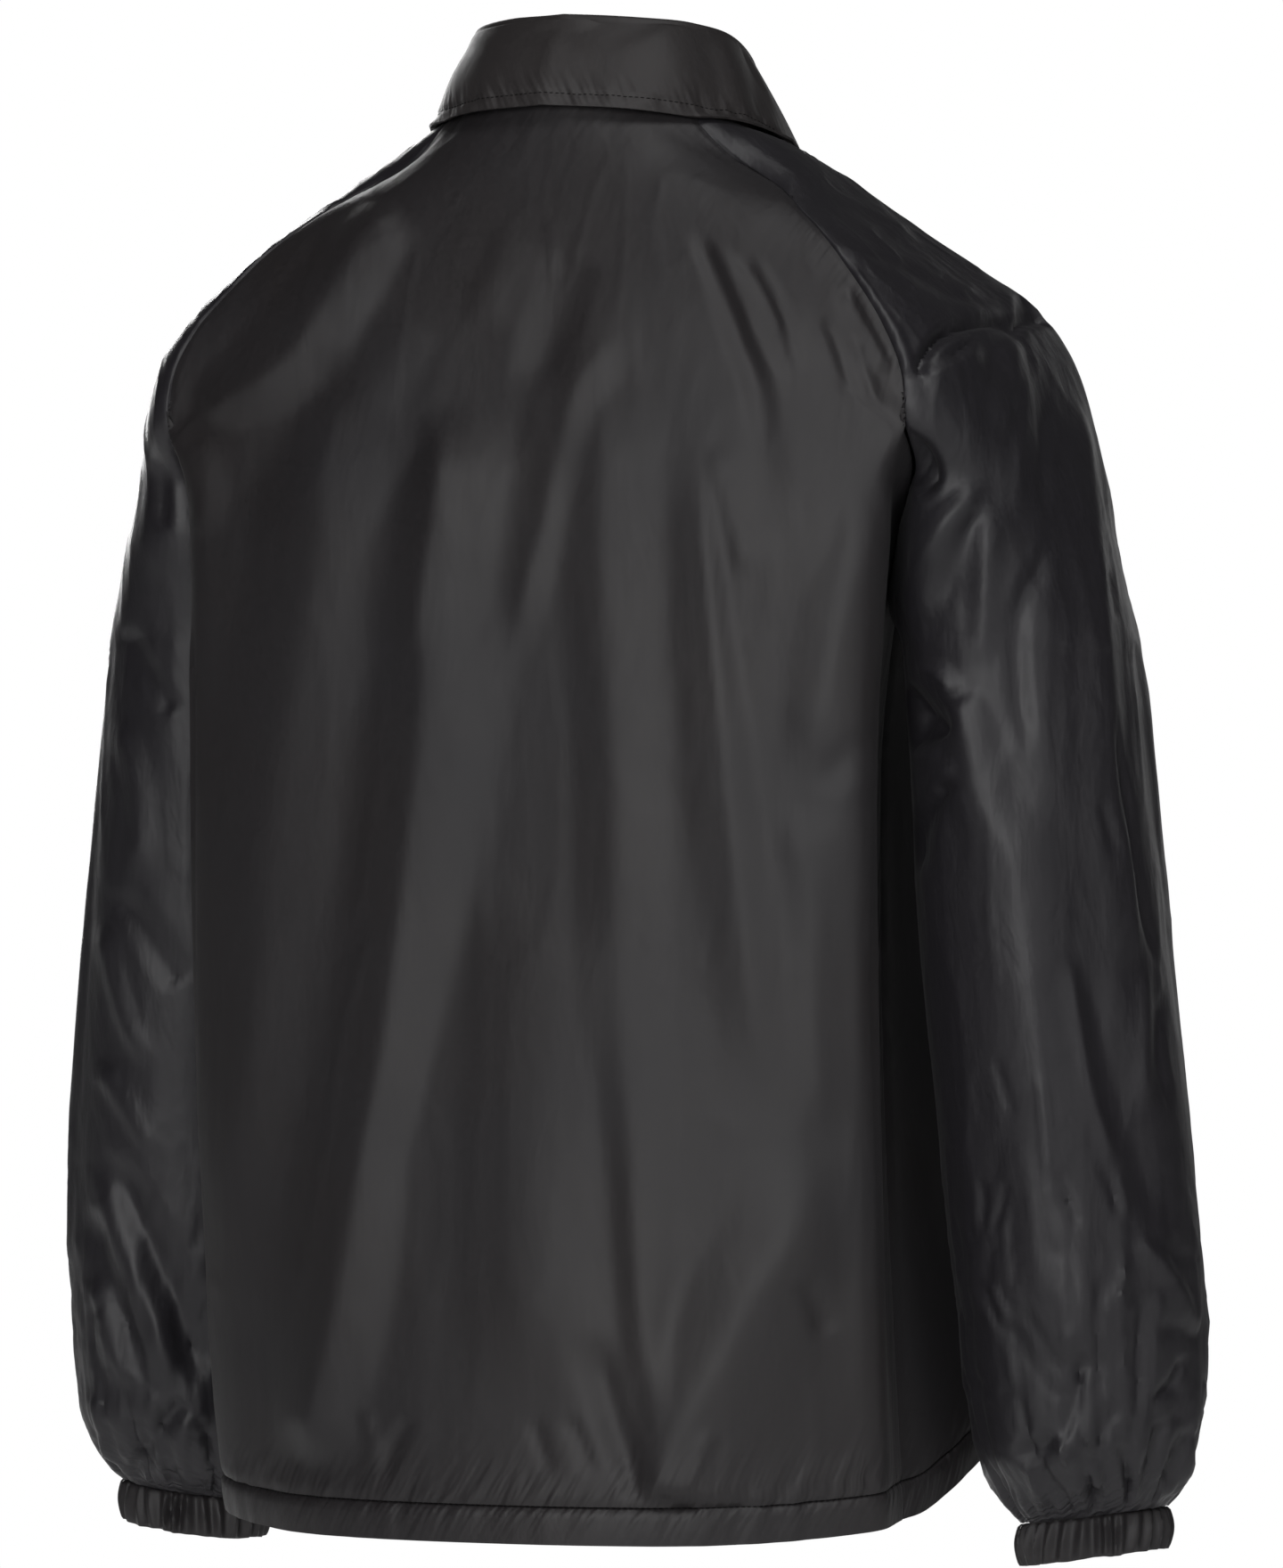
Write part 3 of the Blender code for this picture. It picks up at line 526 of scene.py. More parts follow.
@dataclass(frozen=True)
class BodyForm:
    """The smooth form of the body and the yoke, row by row."""

    roundness: tuple[float, float] = (2.3, 2.4)
    side_turn: float = 0.58
    side_way: tuple[float, float] = (-0.02, -1.0)
    seam_shift: tuple[float, float, float] = (-1.0, 0.0, -1.2)
    least_gap: float = 0.5
    flat_share: float = 0.69
    dense: int = 160
    hem_rise_from: float = -330.0
    hem_z: float = -710.0
    hem_rises: tuple[tuple[float, float, float], ...] = ((150.0, 20.0, 12.0), (40.0, -70.0, 35.0))

    def half_row(self, level: float, face: Face, count: int) -> np.ndarray:
        """One row from the middle of the back or front to the seam.

        Args:
            level: The row's level, 0 at the neck, 1 at the underarm and 2 at the hem.
            face: The back or the front.
            count: How many columns the row has.

        Returns:
            The row's points.
        """
        row = {name: float(value) for name, value in SECTIONS.at(np.array(level)).items()}
        sign = 1 if face is Face.BACK else -1
        key = face.value
        middle = np.array((0, row[key + "_y"], row[key + "_z"]))
        if level <= 1.0:
            seam = SleeveForm().raglan_point(level, face)
            seam = seam + np.array(self.seam_shift) * smooth((level - 0.80) / 0.12)
        else:
            seam = np.array((row["seam_x"], row["seam_y"], row["seam_z"]))
        folded = float(smooth((level - 0.70) / 0.10))
        fold = np.array((row[key + "_fold_x"], row[key + "_fold_y"], seam[2]))
        fold = seam * (1 - folded) + fold * folded
        power = self.roundness[face is Face.FRONT]
        t = np.linspace(0, 1, self.dense)[:, None]
        flat = middle + (fold - middle) * np.concatenate([t, t**power, t**2], axis=1)
        aligned = float(smooth((level - 0.50) / 0.35)) * (0.8 + 0.2 * folded)
        gap = np.linalg.norm(seam - fold)
        if gap < self.least_gap:
            return self.resampled(flat, count, aligned)
        leave = unit(flat[-1] - flat[-2])
        start_pull = fold + leave * gap * row[key + "_turn"]
        inwards, forwards = self.side_way
        end_pull = seam - unit(np.array((inwards, forwards * sign, 0))) * gap * self.side_turn
        wrap = (
            (1 - t) ** 3 * fold
            + 3 * (1 - t) ** 2 * t * start_pull
            + 3 * (1 - t) * t**2 * end_pull
            + t**3 * seam
        )
        return self.resampled(np.concatenate([flat, wrap[1:]]), count, aligned)

    def resampled(self, line: np.ndarray, count: int, aligned: float) -> np.ndarray:
        """Divide a line in two even runs, which meet at its fold when aligned is 1."""
        steps = np.linalg.norm(np.diff(line, axis=0), axis=1)
        along = np.concatenate([[0], np.cumsum(steps)])
        column = round(count * self.flat_share)
        meeting = along[-1] * self.flat_share * (1 - aligned) + along[self.dense - 1] * aligned
        flat = np.linspace(0, meeting, column + 1)
        wrap = np.linspace(meeting, along[-1], count - column + 1)
        at = np.concatenate([flat, wrap[1:]])
        return np.stack([np.interp(at, along, line[:, k]) for k in range(3)], axis=1)

    def grid(self, levels: np.ndarray, face: Face, columns: int) -> np.ndarray:
        """Half a panel: rows downwards, columns from the middle to the seam."""
        points = np.array([self.half_row(level, face, columns) for level in levels])
        lower = smooth((self.hem_rise_from - points[..., 2]) / (self.hem_rise_from - self.hem_z))
        lifted = points.copy()
        for back_y, front_y, rise in self.hem_rises:
            lifted[..., 2] += rise * lower * smooth((back_y - points[..., 1]) / (back_y - front_y))
        return lifted


@dataclass(frozen=True)
class SleeveForm:
    """The smooth form of the sleeves, ring by ring."""

    def points(self, levels: np.ndarray, angles: np.ndarray) -> np.ndarray:
        """Points of the rings, at angles from outside, positive to the back.

        Args:
            levels: The level of each point, 0 at the neck and 4 at the cuff.
            angles: The angle of each point, in degrees.

        Returns:
            The points of the wearer's left sleeve.
        """
        row = RINGS.at(levels)
        turn = np.radians(np.abs(angles))
        across, along = np.cos(turn), np.sin(turn)
        behind = angles >= 0
        outside = across >= 0
        reach = np.where(outside, row["out"], row["inner"])
        rise = np.where(outside, row["out_z"], row["inner_z"])
        depth = np.where(behind, row["back"], -row["front"])
        lean = np.where(behind, row["back_x"], row["front_x"])
        tilt = np.where(behind, row["back_z"], row["front_z"])
        return np.stack([
            row["x"] + across * reach + along * lean,
            row["y"] + along * depth,
            row["z"] + np.abs(across) * rise + along * tilt,
        ], axis=-1)

    def raglan_point(self, level: float, face: Face) -> np.ndarray:
        """Where the sleeve meets the back or the front."""
        row = RINGS.at(np.array(level))
        angle = row["back_end"] if face is Face.BACK else -row["front_end"]
        return self.points(np.array(level), angle)

    def angles(self, levels: np.ndarray, columns: int) -> np.ndarray:
        """The angles of each row's columns, from the front seam to the back seam."""
        row = RINGS.at(levels)
        share = np.linspace(0, 1, columns + 1)[None]
        return -row["front_end"][:, None] * (1 - share) + row["back_end"][:, None] * share

    def grid(self, levels: np.ndarray, columns: int) -> np.ndarray:
        """The sleeve's cloth: rows down the arm, columns from the front seam to the back seam."""
        angles = self.angles(levels, columns)
        return self.points(np.broadcast_to(levels[:, None], angles.shape), angles)


# The creases that show from behind the right shoulder, placed on that view in its steps: across,
# down, width on the left and width on the right.
BACK_SEEN = (
    # the band at the far left and the dark one beside it
    Fold(7.6, ((388, 375, 40, 50), (370, 490, 60, 62), (366, 600, 72, 68), (350, 700, 74, 70),
         (332, 800, 78, 75), (317, 900, 82, 80), (305, 1000, 82, 80), (298, 1100, 85, 66),
         (285, 1200, 80, 62), (273, 1300, 70, 50), (278, 1400, 60, 38), (286, 1530, 50, 25))),
    Fold(10.0, ((478, 456, 14, 30), (498, 508, 30, 80), (494, 590, 56, 85), (484, 650, 60, 80),
         (479, 700, 60, 86), (484, 750, 66, 92), (481, 800, 72, 88), (475, 860, 75, 80),
         (468, 930, 72, 72), (460, 1000, 74, 64), (449, 1090, 82, 54), (435, 1200, 86, 42),
         (415, 1300, 88, 42), (398, 1400, 82, 50), (380, 1500, 74, 50), (357, 1600, 50, 46),
         (348, 1650, 45, 45)), Crest.SHARP, (0.07, 0.05)),
    sharp(0.7, 5, 5, (428, 868), (421, 920), (415, 975), (405, 1050)),
    sharp(0.8, 5, 5, (422, 1052), (405, 1105), (390, 1160), (380, 1230), (370, 1300), (352, 1410),
          (338, 1490), ends=(0.05, 0.4)),
    # the sharp ridge that curves down from the middle
    Fold(3.4, ((722, 366, 60, 50), (692, 382, 52, 44), (666, 405, 46, 38), (645, 445, 45, 30),
         (632, 495, 45, 27), (622, 545, 42, 26), (610, 600, 40, 26), (596, 650, 38, 26),
         (582, 700, 32, 26), (566, 765, 24, 24)), Crest.SHARP, (0.2, 0.3)),
    rounded(-2.2, 26, 26, (650, 275), (632, 320), (612, 390), (600, 450)),
    rounded(1.2, 18, 22, (576, 250), (568, 290), (548, 330), (540, 375)),
    # soft upright folds right of the middle
    Fold(4.0, ((683, 425, 45, 45), (678, 500, 42, 60), (677, 600, 40, 60), (680, 700, 40, 60),
         (688, 800, 40, 55), (692, 900, 40, 50), (695, 1000, 38, 50), (698, 1100, 38, 50),
         (702, 1200, 30, 50), (710, 1300, 26, 45), (716, 1400, 24, 40), (722, 1500, 22, 30),
         (736, 1625, 20, 20)), ends=(0.08, 0.1)),
    Fold(4.6, ((776, 470, 28, 14), (784, 520, 34, 14), (792, 580, 42, 14), (798, 640, 46, 16),
         (803, 700, 50, 18), (808, 760, 52, 22), (815, 850, 50, 30), (825, 940, 48, 35),
         (834, 1040, 46, 40), (842, 1120, 44, 40), (856, 1240, 36, 36)), Crest.SHARP),
    Fold(2.2, ((797, 492, 16, 30), (808, 540, 18, 34), (818, 580, 22, 36), (834, 622, 26, 40),
         (853, 656, 30, 40)), Crest.SHARP),
    # short folds spreading below the shoulder
    Fold(-2.8, ((776, 255, 10, 10), (796, 295, 12, 12), (815, 345, 14, 14), (835, 395, 16, 16),
         (850, 440, 16, 18), (856, 500, 16, 22), (862, 590, 18, 30)), ends=(0.1, 0.5)),
    Fold(1.7, ((800, 266, 12, 12), (822, 310, 12, 14), (838, 348, 12, 16), (856, 395, 14, 18),
         (880, 440, 16, 20)), Crest.SHARP),
    sharp(-1.5, 9, 10, (826, 285), (848, 312), (866, 350), (880, 388)),
    sharp(1.3, 10, 11, (842, 286), (864, 322), (882, 362), (896, 425)),
    sharp(1.5, 10, 12, (926, 352), (944, 400), (958, 450)),
    sharp(-1.4, 8, 11, (955, 372), (974, 424), (988, 468)),
    # the lens and the tuck against the near sleeve's seam
    Fold(-3.6, ((950, 318, 16, 6), (966, 352, 26, 6), (986, 386, 26, 6), (1004, 418, 16, 5)),
         Crest.SHARP, (0.15, 0.15)),
    Fold(3.8, ((984, 545, 28, 14), (971, 620, 34, 20), (955, 670, 42, 34), (940, 725, 42, 46),
         (926, 780, 38, 58), (914, 830, 32, 66), (903, 885, 26, 60))),
    Fold(-1.8, ((988, 822, 16, 14), (962, 838, 20, 18), (938, 862, 22, 24), (920, 896, 22, 26)),
         Crest.SHARP, (0.05, 0.4)),
    Fold(1.2, ((990, 862, 14, 16), (960, 884, 18, 22), (930, 912, 20, 28)), Crest.SHARP,
         (0.05, 0.4)),
    Fold(2.8, ((898, 898, 20, 60), (896, 940, 26, 60), (905, 985, 30, 50), (912, 1040, 32, 42),
         (916, 1120, 32, 36), (920, 1200, 32, 30), (926, 1292, 28, 24)), Crest.SHARP, (0.15, 0.2)),
    # the broad slanting fold at the lower right
    Fold(9.0, ((935, 1262, 60, 60), (906, 1335, 70, 64), (880, 1400, 66, 70), (850, 1450, 64, 76),
         (825, 1500, 62, 84), (800, 1545, 60, 96), (770, 1595, 50, 112), (750, 1645, 36, 120),
         (742, 1690, 30, 120)), ends=(0.35, 0.05)),
    rounded(-8.0, 80, 60, (1002, 900), (1004, 1050), (1008, 1200), (1016, 1400), (1032, 1640),
            ends=(0.3, 0.02)),
    rounded(-2.4, 13, 14, (902, 1432), (918, 1470), (932, 1504)),
    rounded(2.0, 20, 18, (975, 1430), (980, 1520), (988, 1610)),
    sharp(0.7, 5, 5, (960, 1262), (956, 1330), (949, 1380)),
    # at the hem
    Fold(-3.4, ((664, 1490, 26, 16), (678, 1550, 26, 16), (694, 1605, 22, 15), (710, 1650, 18, 15),
         (720, 1684, 14, 14)), ends=(0.3, 0.05)),
    rounded(4.6, 60, 70, (626, 985), (608, 1080), (600, 1200), (592, 1300), (592, 1400),
            (598, 1500), (604, 1600)),
    soft(-1.6, 9, 9, (596, 1590), (608, 1625), (620, 1660)),
    soft(-1.6, 8, 9, (634, 1588), (652, 1622), (664, 1660)),
    sharp(1.8, 9, 12, (798, 1600), (784, 1640), (772, 1676)),
    soft(-1.8, 10, 9, (462, 1590), (440, 1625), (428, 1660)),
    sharp(1.6, 8, 9, (410, 1580), (416, 1610), (424, 1640)),
    # the left shoulder
    Fold(7.4, ((456, 232, 22, 30), (412, 272, 36, 40), (394, 304, 40, 40), (378, 330, 44, 40),
         (360, 356, 48, 40), (336, 398, 54, 40), (300, 428, 52, 36), (264, 448, 42, 30),
         (228, 482, 24, 24)), ends=(0.12, 0.12)),
    Fold(-2.8, ((390, 380, 30, 30), (360, 420, 34, 40), (335, 460, 36, 44), (305, 515, 40, 50),
         (255, 570, 40, 50), (232, 605, 30, 40))),
    soft(2.4, 20, 30, (204, 495), (222, 545), (222, 610)),
    rounded(1.6, 26, 26, (470, 350), (430, 420), (404, 480)),
)
COLLAR_SEEN = (
    Fold(1.7, ((612, 24, 50, 50), (590, 60, 50, 50), (574, 116, 50, 50)), Crest.ROUND),
    Fold(1.9, ((736, 22, 60, 34), (752, 64, 60, 36), (764, 122, 60, 38))),
    Fold(-1.7, ((836, 44, 10, 12), (848, 84, 10, 12), (860, 142, 10, 12))),
    soft(1.2, 14, 12, (806, 40), (822, 84), (830, 134)),
    rounded(-1.0, 16, 16, (528, 40), (518, 84), (506, 132)),
)
RIGHT_SLEEVE_SEEN = (
    # the seam's bright sliver, and the puckered edge of the shoulder
    Fold(4.4, ((952, 300, 6, 10), (974, 345, 9, 16), (1000, 385, 12, 18), (1018, 425, 12, 14)),
         Crest.SHARP, (0.12, 0.1)),
    Fold(-5.0, ((1030, 420, 9, 9), (1044, 392, 9, 10), (1062, 374, 10, 10), (1085, 365, 10, 10),
         (1110, 361, 10, 10), (1131, 363, 12, 11), (1152, 376, 12, 10)), Crest.SHARP, (0.05, 0.1)),
    sharp(-5.0, 26, 12, (1190, 352), (1166, 356), (1140, 360), ends=(0.3, 0.1)),
    sharp(-1.8, 5, 5, (1096, 372), (1082, 390), (1064, 402)),
    sharp(-1.6, 5, 5, (1066, 366), (1052, 384), (1040, 404)),
    Fold(2.8, ((1128, 376, 18, 10), (1137, 400, 20, 12), (1134, 440, 20, 16), (1126, 490, 18, 18))),
    Fold(3.0, ((1034, 430, 26, 12), (1066, 414, 26, 12), (1104, 394, 20, 12))),
    sharp(1.6, 9, 8, (922, 214), (980, 238), (1038, 276)),
    soft(-1.5, 9, 9, (960, 280), (1010, 298), (1070, 330), (1120, 344)),
    # the hollow below the armhole
    Fold(-9.0, ((1004, 494, 15, 16), (1024, 512, 22, 22), (1040, 532, 22, 20), (1036, 556, 14, 12)),
         Crest.SHARP, (0.05, 0.2)),
    sharp(2.4, 6, 7, (1016, 518), (1024, 540), (1032, 564)),
    Fold(4.6, ((1102, 550, 16, 14), (1072, 574, 18, 20), (1046, 610, 22, 26), (1022, 650, 24, 28),
         (1000, 702, 24, 28)), ends=(0.1, 0.2)),
    Fold(-3.4, ((1098, 572, 10, 12), (1080, 612, 16, 22), (1068, 652, 20, 26), (1058, 696, 18, 26)),
         ends=(0.1, 0.3)),
    Fold(2.6, ((1112, 560, 14, 16), (1108, 640, 16, 20), (1104, 700, 18, 20), (1090, 752, 16, 20))),
    # the fold at the elbow and the deep hollow below it
    Fold(4.6, ((984, 746, 14, 9), (1012, 751, 16, 9), (1042, 752, 18, 11), (1062, 762, 20, 13),
         (1074, 786, 20, 16)), Crest.SHARP, (0.02, 0.15)),
    Fold(-13.0, ((980, 786, 34, 30), (1014, 800, 42, 34), (1040, 818, 36, 32), (1052, 838, 24, 22)),
         Crest.SHARP, (0.02, 0.2)),
    Fold(4.4, ((1072, 778, 18, 22), (1082, 806, 24, 26), (1092, 850, 28, 30), (1102, 900, 34, 36),
         (1126, 955, 34, 40)), ends=(0.1, 0.3)),
    sharp(3.6, 15, 14, (1078, 852), (1046, 878), (1022, 906), (998, 944)),
    Fold(-4.6, ((1072, 872, 10, 12), (1044, 902, 15, 16), (1030, 942, 17, 17),
         (1034, 985, 15, 15))),
    sharp(2.4, 9, 8, (1008, 1010), (1030, 1016), (1048, 1032)),
    # the long bright fold down the outside
    Fold(6.0, ((1118, 895, 40, 50), (1140, 985, 52, 56), (1150, 1060, 62, 50), (1160, 1110, 62, 46),
         (1166, 1180, 62, 50), (1176, 1260, 58, 60), (1182, 1330, 52, 72), (1194, 1400, 50, 82),
         (1202, 1470, 52, 82), (1203, 1535, 42, 60)), ends=(0.1, 0.06)),
    Fold(-3.0, ((1182, 598, 12, 12), (1165, 640, 14, 14), (1146, 682, 15, 14), (1140, 730, 13, 16),
         (1145, 790, 12, 16), (1156, 855, 10, 14))),
    Fold(1.8, ((1186, 640, 24, 22), (1176, 700, 28, 28), (1172, 800, 30, 32), (1174, 880, 30, 34),
         (1178, 955, 28, 34)), Crest.SHARP),
    sharp(1.6, 11, 11, (1146, 400), (1150, 460), (1142, 520), (1144, 590)),
    soft(-1.5, 8, 10, (1172, 440), (1168, 510), (1176, 580)),
    Fold(3.6, ((1205, 436, 18, 12), (1218, 520, 26, 14), (1228, 590, 30, 14), (1234, 660, 34, 16),
         (1240, 740, 38, 18), (1243, 820, 40, 18), (1247, 890, 40, 16), (1262, 962, 40, 16),
         (1269, 1040, 34, 16), (1282, 1105, 26, 14)), Crest.SHARP, (0.1, 0.1)),
    sharp(-1.4, 5, 6, (1238, 640), (1246, 665), (1256, 700)),
    sharp(-1.8, 5, 6, (1232, 895), (1240, 925), (1250, 962)),
    Fold(-2.8, ((1246, 800, 5, 6), (1254, 850, 6, 7), (1264, 905, 7, 8), (1272, 962, 7, 9),
         (1281, 1012, 8, 9), (1293, 1062, 7, 8), (1307, 1100, 6, 7)), Crest.SHARP),
    sharp(2.6, 11, 11, (1283, 1070), (1285, 1150), (1284, 1258)),
    sharp(-2.4, 8, 9, (1303, 1108), (1302, 1190), (1314, 1250)),
    Fold(-3.8, ((1215, 1060, 14, 20), (1234, 1130, 24, 28), (1250, 1200, 26, 28),
         (1274, 1280, 30, 28), (1296, 1350, 26, 26), (1318, 1405, 20, 20))),
    sharp(2.8, 14, 12, (1200, 1070), (1212, 1160), (1232, 1250), (1262, 1330)),
    # crinkles over the lower sleeve
    Fold(3.0, ((1272, 1388, 14, 10), (1300, 1414, 16, 12), (1325, 1450, 18, 12),
         (1343, 1502, 16, 10)), Crest.SHARP),
    sharp(-2.6, 6, 7, (1330, 1520), (1318, 1550), (1294, 1574)),
    sharp(-2.4, 8, 7, (1188, 1308), (1198, 1345), (1214, 1384)),
    sharp(-1.9, 7, 7, (1238, 1305), (1247, 1336), (1258, 1366)),
    sharp(1.6, 8, 7, (1168, 1200), (1174, 1262), (1180, 1330)),
    sharp(-1.4, 7, 7, (1116, 1182), (1128, 1220), (1142, 1256)),
    sharp(-1.6, 6, 7, (1098, 1322), (1104, 1348), (1100, 1384)),
    sharp(-1.5, 6, 6, (1130, 1322), (1126, 1352), (1114, 1384)),
    sharp(2.2, 8, 7, (1106, 1436), (1120, 1456), (1134, 1486)),
    sharp(-1.4, 8, 8, (1146, 1462), (1168, 1500), (1192, 1546)),
    sharp(-2.2, 8, 8, (1238, 1420), (1231, 1492), (1238, 1566)),
    sharp(2.0, 8, 8, (1262, 1400), (1256, 1480), (1264, 1566)),
    sharp(-2.2, 9, 8, (1284, 1440), (1279, 1520), (1284, 1600)),
    sharp(1.6, 8, 8, (1303, 1440), (1298, 1510), (1300, 1590)),
    # folds gathering into the cuff
    sharp(-4.0, 18, 12, (1224, 1512), (1210, 1552), (1200, 1592), (1186, 1630)),
    sharp(-2.8, 12, 12, (1256, 1570), (1238, 1614), (1222, 1660)),
    soft(-3.6, 20, 12, (1138, 1640), (1162, 1624), (1190, 1618)),
    sharp(3.2, 8, 8, (1148, 1638), (1158, 1664), (1180, 1694)),
    sharp(-3.4, 7, 7, (1160, 1634), (1174, 1660), (1196, 1690)),
    sharp(4.0, 10, 9, (1186, 1614), (1202, 1646), (1222, 1680)),
    soft(-3.8, 9, 9, (1196, 1640), (1222, 1672), (1244, 1692)),
    sharp(-3.2, 9, 9, (1312, 1590), (1298, 1630), (1284, 1684)),
    sharp(2.6, 9, 8, (1324, 1590), (1310, 1634), (1296, 1680)),
    sharp(-3.0, 8, 8, (1340, 1598), (1324, 1636), (1308, 1676)),
    sharp(-2.8, 9, 8, (1262, 1620), (1266, 1652), (1272, 1688)),
)
LEFT_SLEEVE_SEEN = (
    Fold(-2.6, ((136, 700, 18, 14), (153, 732, 22, 16), (175, 765, 22, 14), (194, 802, 18, 12)),
         ends=(0.2, 0.1)),
    soft(-2.6, 10, 10, (176, 505), (182, 540), (180, 600)),
    soft(3.0, 16, 18, (128, 800), (150, 860), (158, 930), (150, 1000)),
    Fold(-2.8, ((118, 1000, 14, 16), (140, 1018, 16, 20), (165, 1050, 18, 24), (198, 1106, 18, 24)),
         ends=(0.3, 0.05)),
    soft(3.4, 14, 14, (112, 1030), (124, 1080), (140, 1140), (168, 1200)),
    soft(2.6, 14, 16, (108, 1190), (140, 1240), (176, 1300)),
    Fold(-6.5, ((116, 1290, 16, 22), (140, 1345, 20, 30), (166, 1400, 22, 34), (194, 1455, 24, 34),
         (214, 1505, 22, 28), (232, 1562, 18, 22)), ends=(0.2, 0.15)),
    Fold(3.0, ((112, 1298, 20, 14), (126, 1345, 24, 15), (146, 1402, 26, 16), (168, 1462, 26, 16),
         (188, 1522, 24, 16), (206, 1568, 20, 14)), Crest.SHARP, (0.2, 0.2)),
    soft(-3.4, 14, 14, (100, 1350), (118, 1420), (142, 1490), (166, 1556)),
    soft(3.0, 14, 16, (104, 1430), (122, 1500), (146, 1566)),
    Fold(-5.0, ((206, 1574, 10, 12), (178, 1608, 14, 16), (156, 1645, 14, 14), (146, 1668, 10, 10)),
         ends=(0.05, 0.1)),
    sharp(2.8, 8, 8, (208, 1590), (218, 1620), (228, 1652)),
    sharp(-2.6, 7, 7, (222, 1586), (232, 1618), (238, 1652)),
    sharp(-2.4, 8, 8, (118, 1590), (130, 1626), (142, 1660)),
    sharp(2.4, 8, 8, (104, 1560), (114, 1600), (126, 1640)),
)

# The creases of the sides that the view hides. Across is the way along the cloth from the middle
# of the back or front; on a sleeve it is 1.15 mm for each degree from outside, positive to the
# back. Down is measured from the base of the neck.
BACK_HIDDEN = (
    rounded(4.5, 18, 20, (190, 210), (192, 300), (188, 420), (186, 560)),
    rounded(-3.6, 16, 16, (214, 260), (218, 380), (214, 520)),
)
FRONT_HIDDEN = (
    rounded(-5.0, 30, 26, (60, 130), (66, 250), (80, 400), (92, 620)),
    soft(5.5, 34, 24, (92, 150), (100, 270), (116, 420), (130, 640)),
    rounded(3.6, 20, 24, (34, 240), (38, 340), (44, 480), (44, 660)),
    soft(-4.0, 16, 20, (150, 140), (128, 176), (104, 222), (84, 290)),
    sharp(4.0, 18, 14, (136, 120), (112, 152), (88, 196)),
    soft(-4.2, 22, 22, (140, 420), (122, 500), (98, 600)),
    sharp(3.2, 14, 18, (66, 330), (60, 430), (66, 560)),
    soft(-2.6, 12, 12, (110, 260), (116, 330), (112, 410)),
    soft(4.4, 26, 20, (150, 500), (140, 580), (136, 680)),
)
RIGHT_SLEEVE_HIDDEN = (
    soft(-6.0, 20, 18, (-90, 240), (-120, 270), (-156, 300)),
    sharp(4.5, 18, 18, (-84, 300), (-112, 330), (-150, 350)),
    soft(-5.0, 20, 22, (-50, 250), (-62, 360), (-80, 470), (-84, 600)),
    sharp(5.0, 24, 18, (-34, 220), (-38, 330), (-54, 470), (-58, 620)),
    soft(-4.6, 18, 18, (-120, 440), (-140, 520), (-150, 620)),
    sharp(4.0, 16, 16, (-104, 470), (-116, 560), (-112, 650)),
)
LEFT_SLEEVE_HIDDEN = (
    soft(-6.0, 18, 20, (78, 236), (100, 262), (130, 280)),
    sharp(4.6, 16, 18, (70, 276), (96, 300), (126, 316)),
    sharp(5.0, 24, 18, (62, 200), (56, 320), (44, 460), (40, 620)),
    soft(-4.6, 18, 16, (34, 210), (24, 330), (12, 460), (14, 560)),
    sharp(3.6, 14, 18, (-4, 250), (-12, 380), (-8, 520), (2, 640)),
    soft(-5.0, 20, 22, (-48, 240), (-60, 350), (-78, 470), (-82, 600)),
    sharp(4.6, 20, 18, (-30, 220), (-38, 330), (-52, 470), (-56, 620)),
    soft(-6.0, 20, 18, (-92, 250), (-124, 276), (-160, 300)),
    sharp(4.4, 18, 18, (-84, 310), (-114, 336), (-150, 356)),
    soft(-4.6, 18, 18, (-120, 440), (-140, 520), (-150, 620)),
    sharp(4.4, 14, 14, (60, 520), (74, 580), (80, 650)),
)


class GroupBuilder:
    """Adds nodes to a tree, with their inputs set or linked in the same call."""

    def __init__(self, tree: bpy.types.NodeTree) -> None:
        """Keep the tree that the nodes go into."""
        self.tree = tree

    def feed(self, node: bpy.types.Node, inputs: dict[str | int, object]) -> None:
        """Link a node's inputs where sockets are given, and set them where values are."""
        for key, value in inputs.items():
            if isinstance(value, bpy.types.NodeSocket):
                self.tree.links.new(value, node.inputs[key])
            else:
                node.inputs[key].default_value = value

    def node(
        self, kind: str, inputs: dict[str | int, object] | None = None, **values: object
    ) -> bpy.types.Node:
        """Add a node.

        Args:
            kind: The node's type.
            inputs: Sockets and values for its inputs.
            **values: Its own properties.

        Returns:
            The new node.
        """
        made = self.tree.nodes.new(kind)
        for name, value in values.items():
            setattr(made, name, value)
        self.feed(made, inputs or {})
        return made

    def maths(self, operation: str, first: object, second: object) -> bpy.types.NodeSocket:
        """Add a Math node whose inputs are sockets or numbers."""
        return self.node("ShaderNodeMath", {0: first, 1: second}, operation=operation).outputs[0]


def new_group(
    name: str, kind: str, inputs: dict[str, str], outputs: dict[str, str]
) -> bpy.types.NodeTree:
    """Make an empty node group.

    Args:
        name: The group's name.
        kind: The type of its tree.
        inputs: The kind of each input by its name.
        outputs: The kind of each output by its name.

    Returns:
        The group.
    """
    tree = bpy.data.node_groups.new(name, kind)
    for way, sockets in (("INPUT", inputs), ("OUTPUT", outputs)):
        for label, value in sockets.items():
            tree.interface.new_socket(label, in_out=way, socket_type=f"NodeSocket{value}")
    return tree


def new_finish(name: str) -> tuple[bpy.types.Material, GroupBuilder, bpy.types.Node]:
    """Make a node material, and give its builder and its shader with it."""
    made = bpy.data.materials.new(name)
    made.use_nodes = True
    return made, GroupBuilder(made.node_tree), made.node_tree.nodes["Principled BSDF"]


